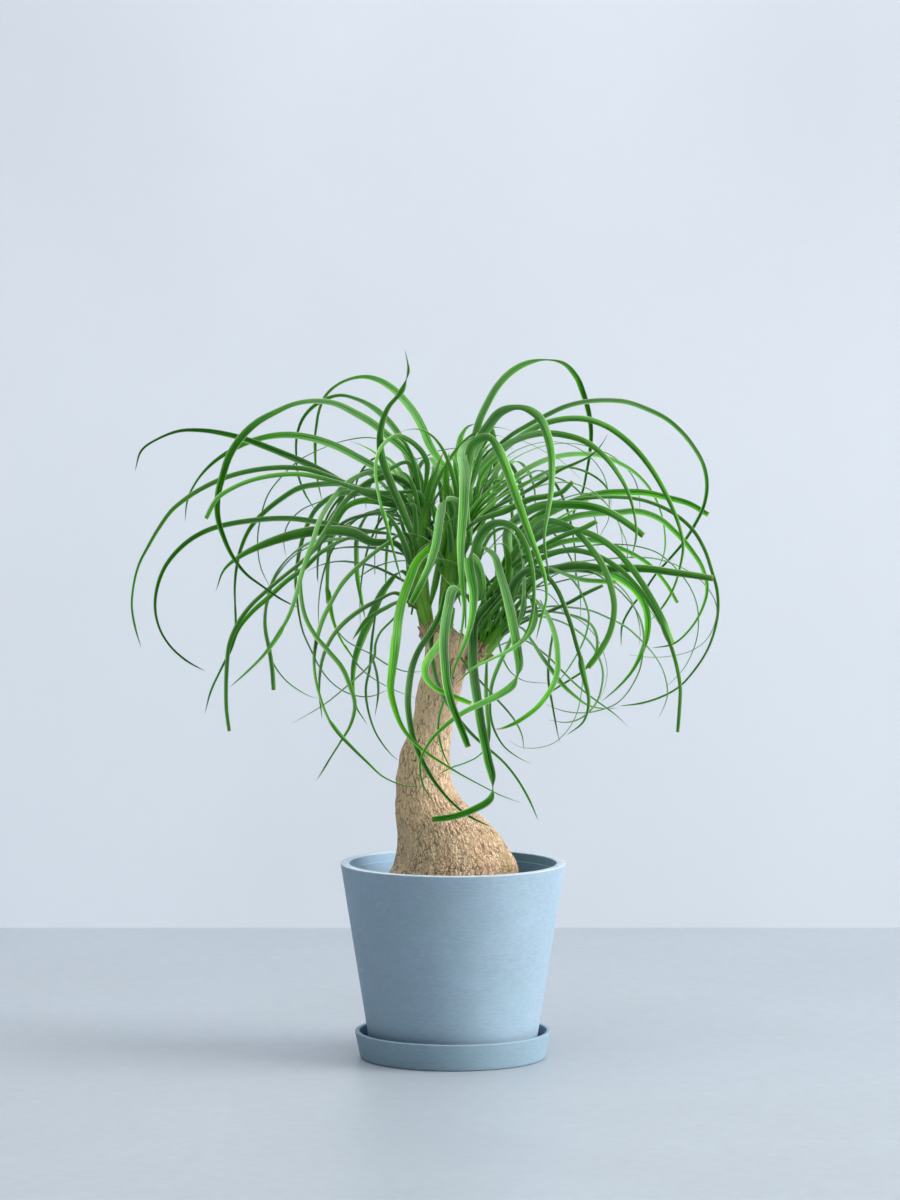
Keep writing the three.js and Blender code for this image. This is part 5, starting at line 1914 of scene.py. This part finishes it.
def cad_sections(node: bpy.types.Object, shoots: np.ndarray) -> tuple[np.ndarray, bool]:
    """Reads a CAD leaf's sections back from its mesh.

    A CAD leaf is a skin over rings of four points, closed by one point at either end. In a ring the two
    points furthest apart are the blade's edges.

    Args:
        node: the CAD leaf.
        shoots: points of the shoots, which tell its base from its tip.

    Returns:
        Its sections from base to tip, and whether its tip is cut square.
    """
    points = mesh_points(node)
    _, first, welded = np.unique(np.round(points, 6), axis=0, return_index=True, return_inverse=True)
    welded = welded.ravel()
    corners = points[first]
    near: list[set[int]] = [set() for _ in corners]
    for face in node.data.polygons:
        own = [int(welded[v]) for v in face.vertices]
        for one, two in zip(own, own[1:] + own[:1]):
            near[one].add(two)
            near[two].add(one)
    chains = [rings_from(index, near) for index, around in enumerate(near) if len(around) == 4]
    chains = [chain for chain in chains if {len(ring) for ring in chain[:-1]} == {4} and len(chain[-1]) == 1]
    chains.sort(key=lambda chain: np.linalg.norm(shoots - corners[chain[0]].mean(axis=0), axis=1).min())
    rings, tip = chains[0][:-1], chains[0][-1][0]
    sections, before = [], None
    for ring in rings:
        four = corners[ring]
        apart = np.linalg.norm(four[:, None] - four[None], axis=-1)
        one, two = np.unravel_index(np.argmax(apart), apart.shape)
        middle = [index for index in range(4) if index not in (one, two)]
        across = unit(four[one] - four[two])
        if before is not None and np.dot(across, before) < 0:
            across = -across
        before = across
        sections.append((four[middle].mean(axis=0), across, float(apart[one, two]),
                         (four[one] + four[two]) / 2 - four[middle].mean(axis=0)))
    centres = np.array([s[0] for s in sections])
    ways = unit(np.gradient(centres, axis=0))
    acrosses = np.array([s[1] for s in sections])
    rises = np.array([s[3] for s in sections])
    if np.sum(np.cross(acrosses, ways) * rises) < 0:
        acrosses = -acrosses
    widths = np.array([s[2] for s in sections])
    cut = float(np.linalg.norm(corners[tip] - centres[-1])) < CUT_GAP
    widths[:3] = widths[3] * np.array(BASE_SHARES)
    nearest = shoots[np.argmin(np.linalg.norm(shoots - centres[0], axis=1))]
    start = centres[0] - ways[0] * ROOTED + (centres[0] - nearest) * -TUCKED
    centres = np.concatenate([[start], centres])
    acrosses = np.concatenate([[acrosses[0]], acrosses])
    widths = np.concatenate([[widths[0]], widths])
    return np.concatenate([centres, acrosses, widths[:, None]], axis=1), cut


NARROW = 5  # picture points: traced leaves that look narrower than this turn less to the viewer
NARROW_ROLL, BROAD_ROLL = 0.6, 1.3


def traced_sections(seen: tuple[float, ...], width: tuple[float, float], reach: float) -> np.ndarray:
    """Sections of a leaf traced in the front view.

    Args:
        seen: its middle line in the picture, from base to tip, with across and down in turn.
        width: how wide it looks there at its widest and near its tip, in picture points.
        reach: how far behind the shoots its outer part lies, in metres.

    Returns:
        Its sections.
    """
    flat = np.array(seen, float).reshape(-1, 2)
    run = np.concatenate([[0.0], np.cumsum(np.linalg.norm(np.diff(flat, axis=0), axis=1))])
    along = run / run[-1]
    depths = reach * outward(along)
    line = np.array([VIEW.point(u, v, d) for (u, v), d in zip(flat, depths)])
    across = carried_across(line, NARROW_ROLL if width[0] < NARROW else BROAD_ROLL)
    wide = np.interp(along, [0, 0.15, 0.5, 1], [0.8 * width[0], width[0], width[0], width[1]]) * POINT_SIZE
    return np.concatenate([line, across, wide[:, None]], axis=1)


# Where a blade folds or turns its edge to the viewer: the point seen, the share of its width left there,
# which is over 1 beside a fold, and how far the change reaches, in metres.
PINCHES: dict[str, tuple[tuple[tuple[float, float], float, float], ...]] = {
    "leaf_front_09": (((493, 788), 0.12, 0.0065),),
    "leaf_front_05": (((518, 677), 0.25, 0.0060),),
    "leaf_front_06": (((518, 677), 0.25, 0.0060),),
    "leaf_right_01": (((548, 359), 0.25, 0.0160),),
    "leaf_right_02": (((517, 408), 0.60, 0.0100),),
    "leaf_left_12": (((407, 379), 0.35, 0.0030), ((403, 391), 1.9, 0.0060), ((410, 370), 1.5, 0.0050)),
    "leaf_left_09": (((350, 386), 0.55, 0.0260),),
    "leaf_left_10": (((350, 397), 0.60, 0.0200),),
    "leaf_left_04": (((300, 402), 0.60, 0.0400),),
}


# Blades that turn more or less of their face to the viewer than the rest, and how strongly.
FACINGS: dict[str, float] = {
    "leaf_front_01": 1.6, "leaf_front_02": 1.4, "leaf_front_03": 1.2, "leaf_front_05": 0.25,
    "leaf_left_03": 1.2, "leaf_right_01": 1.6, "leaf_right_02": 1.6, "leaf_right_05": 1.2,
}


# Blades that narrow sooner: the part of the length where that starts, and the share of the width left.
SLIM: dict[str, tuple[float, float]] = {
    "leaf_left_20": (0.30, 0.50), "leaf_left_11": (0.35, 0.60), "leaf_front_02": (0.35, 0.42),
}


ThinLeaf = tuple[tuple[float, ...], tuple[float, float], float, str, bool]

# Leaves seen between and behind the CAD ones: the points seen from base to tip, with across and down in
# turn, the widths at the widest and near the tip, how far back (+) or forward (-) it reaches, its tone and
# whether its tip is cut.
THIN_LEAVES: list[ThinLeaf] = [
    ((418, 462, 405, 448, 389, 442, 368, 438, 341, 442, 317, 451, 299, 461, 281, 478, 269, 494, 262, 514, 258,
      540, 261, 567, 271, 589), (2.5, 1.5), 0.12, "M", False),
    ((395, 510, 380, 510, 369, 515, 362, 526, 358, 538, 357, 555, 358, 578, 362, 602, 365, 618),
     (5, 4), 0.13, "B", False),
    ((390, 495, 360, 494, 336, 497, 320, 502, 301, 511, 288, 525, 284, 541, 286, 556),
     (3, 1.5), 0.09, "G", False),
    ((400, 548, 370, 540, 345, 540, 325, 541, 310, 544, 290, 557, 276, 576, 268, 603, 266, 626, 270, 650, 273,
      672, 274, 690), (5, 5), 0.07, "G", True),
    ((395, 545, 340, 540, 300, 552, 275, 580, 270, 597, 265, 620, 267, 640, 272, 660, 287, 681, 310, 696, 317,
      698), (3.5, 2), 0.09, "G", False),
    ((335, 628, 345, 640, 358, 648, 372, 655, 388, 665, 409, 672, 428, 671), (2, 1.2), 0.12, "M", False),
    ((425, 605, 410, 600, 399, 603, 388, 609, 377, 615, 366, 623, 353, 639), (8, 6), 0.06, "B", False),
    ((378, 600, 372, 640, 370, 667, 366, 690, 369, 713, 377, 735, 390, 753, 399, 761),
     (2.5, 1.5), 0.11, "D", False),
    ((405, 600, 395, 618, 381, 633, 376, 645, 375, 657, 368, 668, 348, 686, 324, 705, 293, 723),
     (3.5, 2), -0.06, "M", False),
    ((425, 595, 398, 579, 375, 568, 359, 564, 336, 562, 316, 567, 308, 571), (4.5, 3), 0.06, "D", False),
    ((420, 560, 390, 552, 359, 548, 336, 549, 324, 553, 312, 560), (4.5, 3), 0.09, "D", False),
    ((345, 645, 360, 668, 380, 683, 401, 693, 416, 698), (2, 1.2), 0.08, "M", False),
    ((370, 650, 377, 676, 378, 696, 375, 716), (2.5, 1.5), 0.08, "M", False),
    ((408, 561, 393, 562, 382, 565, 371, 570, 355, 580), (3, 2), 0.05, "B", False),
    ((424, 590, 425, 560, 427, 530, 431, 500, 436, 475, 441, 458, 444, 452), (6, 5), 0.0, "G", False),
    ((452, 540, 449, 510, 446, 490, 446, 475, 448, 462, 449, 453), (7, 5), -0.01, "B", False),
    ((452, 540, 454, 500, 456, 470, 458, 450, 461, 436, 467, 427, 474, 424), (7, 5), 0.06, "G", False),
    ((470, 470, 478, 440, 484, 428, 489, 428, 493, 440, 495, 460, 495, 480, 494, 500, 493, 515),
     (6, 5), 0.09, "B", False),
    ((480, 500, 492, 462, 490, 454, 478, 449, 465, 448, 450, 449, 436, 452, 425, 457, 405, 462, 390, 466, 384,
      471), (2, 1.2), 0.08, "D", False),
    ((472, 600, 480, 560, 492, 535, 504, 529, 514, 536, 520, 550, 523, 570, 523, 592, 521, 612, 514, 630, 506,
      648, 498, 666, 492, 684, 490, 702, 491, 718, 496, 733, 505, 747, 518, 757, 531, 764),
     (5, 1.5), -0.075, "G", False),
    ((487, 650, 486, 690, 487, 712, 489, 730, 487, 747, 478, 757, 464, 764, 449, 769, 435, 777),
     (3.5, 2.5), -0.1, "M", False),
    ((446, 640, 450, 675, 444, 700, 439, 718, 439, 737, 444, 755, 452, 771), (2.5, 1.8), -0.125, "M", False),
    ((452, 640, 462, 660, 472, 673, 484, 686, 497, 700, 508, 712, 516, 723, 522, 736, 524, 750),
     (2.5, 1.8), -0.12, "D", False),
    ((478, 490, 510, 455, 535, 444, 555, 442, 570, 445, 585, 453, 597, 465, 604, 477, 608, 492, 609, 505, 608,
      520, 603, 530, 598, 540), (2, 1.2), 0.06, "M", False),
    ((466, 530, 490, 512, 520, 496, 545, 481, 560, 471, 576, 464, 590, 457, 598, 450, 603, 443, 608, 434),
     (6, 2), 0.0, "D", False),
    ((480, 520, 520, 495, 545, 485, 557, 483, 570, 483, 583, 487, 593, 492, 603, 500, 612, 512, 619, 525, 622,
      540, 621, 565), (2.5, 1.5), 0.01, "G", False),
    ((480, 590, 520, 560, 560, 550, 600, 545, 625, 545, 643, 548, 657, 553, 670, 563, 681, 575, 690, 588, 696,
      603, 698, 618, 697, 635, 692, 652, 685, 666, 676, 677, 666, 687), (3, 1.5), -0.06, "D", False),
    ((484, 600, 530, 572, 575, 567, 605, 580, 625, 597, 638, 615, 643, 635, 642, 655, 639, 670, 633, 683, 625,
      695, 615, 704, 602, 709, 588, 712, 572, 712, 558, 709, 546, 704), (4, 2), -0.05, "D", False),
    ((484, 640, 520, 615, 550, 607, 570, 608, 590, 611, 607, 618, 625, 627, 640, 640, 652, 653, 661, 667, 666,
      682, 667, 695, 664, 706, 659, 717), (4, 2.5), 0.0, "M", False),
    ((487, 640, 505, 610, 520, 598, 532, 600, 542, 610, 550, 624, 555, 640, 557, 656, 557, 670, 553, 684, 546,
      696, 537, 707, 526, 716, 513, 724, 500, 729, 495, 729), (6, 4), -0.14, "M", False),
    ((487, 650, 505, 628, 520, 628, 530, 640, 541, 657, 553, 673, 563, 686, 575, 697, 588, 706, 605, 709, 618,
      708), (5, 2.5), -0.08, "M", False),
    ((540, 600, 552, 625, 550, 650, 548, 670, 549, 687, 552, 703, 555, 720, 558, 735, 560, 743),
     (2.5, 1.5), -0.06, "D", False),
    ((495, 610, 540, 590, 568, 620, 578, 650, 582, 675, 581, 692, 578, 708, 573, 721, 564, 734, 553, 743, 541,
      747, 529, 748, 518, 746, 510, 741), (2.2, 1.4), -0.04, "G", False),
    ((490, 640, 530, 618, 560, 622, 585, 638, 597, 655, 602, 671, 601, 686, 597, 700, 589, 711, 578, 719, 565,
      722, 549, 720), (4.5, 2.5), -0.03, "G", False),
    ((490, 640, 540, 612, 575, 618, 595, 636, 604, 655, 607, 672, 605, 686, 600, 699),
     (2, 1.2), -0.01, "M", False),
    ((490, 620, 545, 612, 590, 625, 596, 648, 585, 668, 570, 679, 556, 688, 545, 697),
     (5, 3), -0.05, "D", False),
    ((492, 620, 499, 645, 504, 662, 512, 674, 524, 681, 540, 683, 556, 683), (2, 1.2), -0.08, "M", False),
    ((490, 650, 520, 640, 545, 655, 562, 672, 577, 686, 592, 698, 606, 708, 618, 717, 628, 727),
     (3, 1.2), -0.1, "D", False),
    ((480, 600, 540, 570, 600, 560, 660, 560, 700, 580, 716, 605, 714, 625, 705, 641, 690, 651, 670, 656, 650,
      657, 630, 655), (3, 1.3), 0.02, "M", False),
    ((485, 650, 520, 625, 550, 612, 570, 603, 586, 594, 603, 586), (5, 4.5), -0.04, "D", True),
    ((481, 610, 530, 590, 560, 582, 577, 578, 598, 573), (3, 2.5), 0.01, "D", False),
    ((482, 590, 520, 562, 548, 545, 566, 536, 582, 530, 597, 522), (7.5, 6.5), -0.06, "M", True),
    ((482, 620, 515, 585, 540, 568, 554, 571, 568, 577, 583, 581, 600, 582, 616, 583),
     (6.5, 5.5), -0.07, "G", True),
    ((482, 600, 540, 570, 585, 568, 607, 577, 621, 588, 631, 601, 637, 616, 640, 632, 639, 645),
     (4, 2), -0.03, "G", False),
    ((484, 600, 540, 572, 580, 562, 605, 570, 621, 578, 633, 588, 642, 600, 655, 618, 664, 632),
     (3, 1.8), 0.0, "M", False),
    ((485, 610, 525, 578, 550, 568, 566, 575, 577, 587, 584, 601, 588, 616, 586, 631, 581, 645, 573, 660, 564,
      674, 555, 686), (4, 2), -0.06, "M", False),
    ((470, 500, 510, 462, 545, 446, 575, 444, 598, 450, 613, 457, 626, 468, 635, 481, 639, 496, 640, 512),
     (2.5, 1.5), 0.1, "G", False),
    ((478, 560, 520, 520, 560, 500, 590, 494, 605, 503, 615, 517, 622, 532, 627, 546, 627, 556, 618, 567, 606,
      577), (3, 1.8), -0.01, "M", False),
    ((505, 439, 525, 442, 545, 452, 560, 460, 580, 478), (1, 0.8), 0.03, "G", False),
    ((452, 600, 446, 575, 440, 550, 436, 525, 430, 500), (8, 6), 0.0, "M", False),
    ((430, 610, 436, 585, 441, 560, 446, 535, 449, 505), (7, 5), -0.01, "B", False),
    ((434, 556, 440, 570, 448, 581, 456, 591, 461, 606), (5, 4), -0.02, "B", False),
    ((470, 640, 482, 610, 496, 585, 508, 568, 518, 556), (8, 6), -0.01, "B", False),
    ((474, 644, 488, 622, 502, 604, 518, 590, 530, 582), (8, 5), -0.02, "B", False),
    ((472, 650, 490, 634, 508, 622, 524, 610, 540, 604), (7, 4), 0.0, "B", False),
]


# ---- the room


@dataclass
class Room:
    """Floor, wall and light, none of them part of the object."""

    wall_depth: float = 0.826  # behind the pot's axis
    wall_side: float = 3.0  # half its width
    wall_height: float = 3.5
    reach: float = 4.0  # half the floor's width, and a quarter of its length
    floor_colour: Colour = (0.405, 0.450, 0.495)
    wall_colour: Colour = (0.745, 0.785, 0.850)
    sky_colour: Colour = (0.84, 0.95, 1.0)
    sky_seen: Colour = (0.78, 0.83, 0.90)

    def build(self) -> None:
        """Makes the floor, the wall and the lights."""
        self.build_floor()
        self.build_wall()
        self.build_sky()
        self.lamp("window", place=(5.4, -1.2, 2.4), aim=(0.0, 0.0, 0.35), size=(4.2, 2.2), power=430.0,
                  colour=(1.0, 0.985, 0.96))
        self.lamp("ceiling", place=(-0.2, -0.8, 3.3), aim=(0.0, 0.0, 0.0), size=(3.0, 3.0), power=85.0,
                  colour=(0.96, 0.98, 1.0))
        bpy.context.scene.view_settings.view_transform = "Standard"

    def plane(self, name: str, corners: list[Triple], material: bpy.types.Material) -> None:
        """Adds one flat sheet of the room.

        Args:
            name: the sheet's name.
            corners: its corners in order.
            material: its finish.
        """
        mesh = bpy.data.meshes.new(name)
        mesh.from_pydata(corners, [], [tuple(range(len(corners)))])
        mesh.materials.append(material)
        sheet = bpy.data.objects.new(name, mesh)
        bpy.context.scene.collection.objects.link(sheet)

    def build_floor(self) -> None:
        """Makes the floor, with faint clouds at two sizes."""
        floor = Finish("floor_paint", roughness=0.42)
        broad = floor.mottled(self.floor_colour, scale=3.0, amount=0.03)
        floor.feed("Base Color", floor.mottled(broad, scale=70.0, amount=0.03))
        side, end = self.reach, 2 * self.reach
        corners = [(-side, -end, 0), (side, -end, 0), (side, end, 0), (-side, end, 0)]
        self.plane("floor", corners, floor.material)

    def build_wall(self) -> None:
        """Makes the wall: painted shade in its upper corners, painted light on its left, clear when seen from
        behind.
        """
        wall = Finish("wall_paint", roughness=0.8)
        tree = wall.tree
        spot = tree.node("ShaderNodeSeparateXYZ", {0: wall.place})
        away = tree.math("ABSOLUTE", spot.outputs[0])
        # painted shade in the upper corners and painted light on the left, where the window's light falls off
        high = tree.between(spot.outputs[2], 0.50, 0.95, 0.0, 0.11)
        corner = tree.times(high, tree.between(away, 0.10, 0.42))
        painted_light_and_shade = tree.minus(tree.between(spot.outputs[0], -0.50, 0.05, 1.08, 1.0), corner)
        clouds = wall.mottled(self.wall_colour, scale=1.5, amount=0.02)
        wall.feed("Base Color", tree.scaled(clouds, painted_light_and_shade))
        behind = tree.node("ShaderNodeNewGeometry").outputs["Backfacing"]
        wall.mix_in(behind, tree.node("ShaderNodeBsdfTransparent").outputs[0])
        side, deep, top = self.wall_side, self.wall_depth, self.wall_height
        corners = [(-side, deep, 0), (side, deep, 0), (side, deep, top), (-side, deep, top)]
        self.plane("wall", corners, wall.material)

    def build_sky(self) -> None:
        """Makes the soft light from all round, stronger at the window's side."""
        world = bpy.data.worlds.new("soft_sky")
        world.use_nodes = True
        bpy.context.scene.world = world
        tree = Tree(world.node_tree)
        place = tree.node("ShaderNodeTexCoord").outputs["Generated"]
        side = tree.node("ShaderNodeSeparateXYZ", {0: place}).outputs[0]
        lit = world.node_tree.nodes["Background"]
        lit.inputs["Color"].default_value = (*self.sky_colour, 1.0)
        tree.tree.links.new(tree.between(side, -0.9, 0.9, 0.10, 0.20), lit.inputs["Strength"])
        shown = tree.node("ShaderNodeBackground", {"Color": (*self.sky_seen, 1.0), "Strength": 0.9})
        seen = tree.node("ShaderNodeLightPath").outputs["Is Camera Ray"]
        mixed = tree.node("ShaderNodeMixShader", {0: seen, 1: lit.outputs[0], 2: shown.outputs[0]})
        tree.tree.links.new(mixed.outputs[0], world.node_tree.nodes["World Output"].inputs["Surface"])

    def lamp(self, name: str, place: Triple, aim: Triple, size: tuple[float, float], power: float,
             colour: Colour) -> None:
        """Adds a soft light.

        Args:
            name: the lamp's name.
            place: where it hangs.
            aim: what it shines at.
            size: its width and height.
            power: in watts.
            colour: its tint.
        """
        data = bpy.data.lights.new(name, "AREA")
        data.shape = "RECTANGLE"
        data.size, data.size_y = size
        data.energy, data.color = power, colour
        lamp = bpy.data.objects.new(name, data)
        bpy.context.scene.collection.objects.link(lamp)
        lamp.location = place
        lamp.rotation_euler = (Vector(aim) - Vector(place)).to_track_quat("-Z", "Y").to_euler()


def main() -> None:
    """Builds the whole scene."""
    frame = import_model()
    VIEW.add_camera()
    vessels = Vessels()
    vessels.build()
    Soil().build(vessels)
    Trunk().build()
    Shoots().build()
    Crown().build(frame)
    Room().build()


if __name__ == "__main__":
    main()
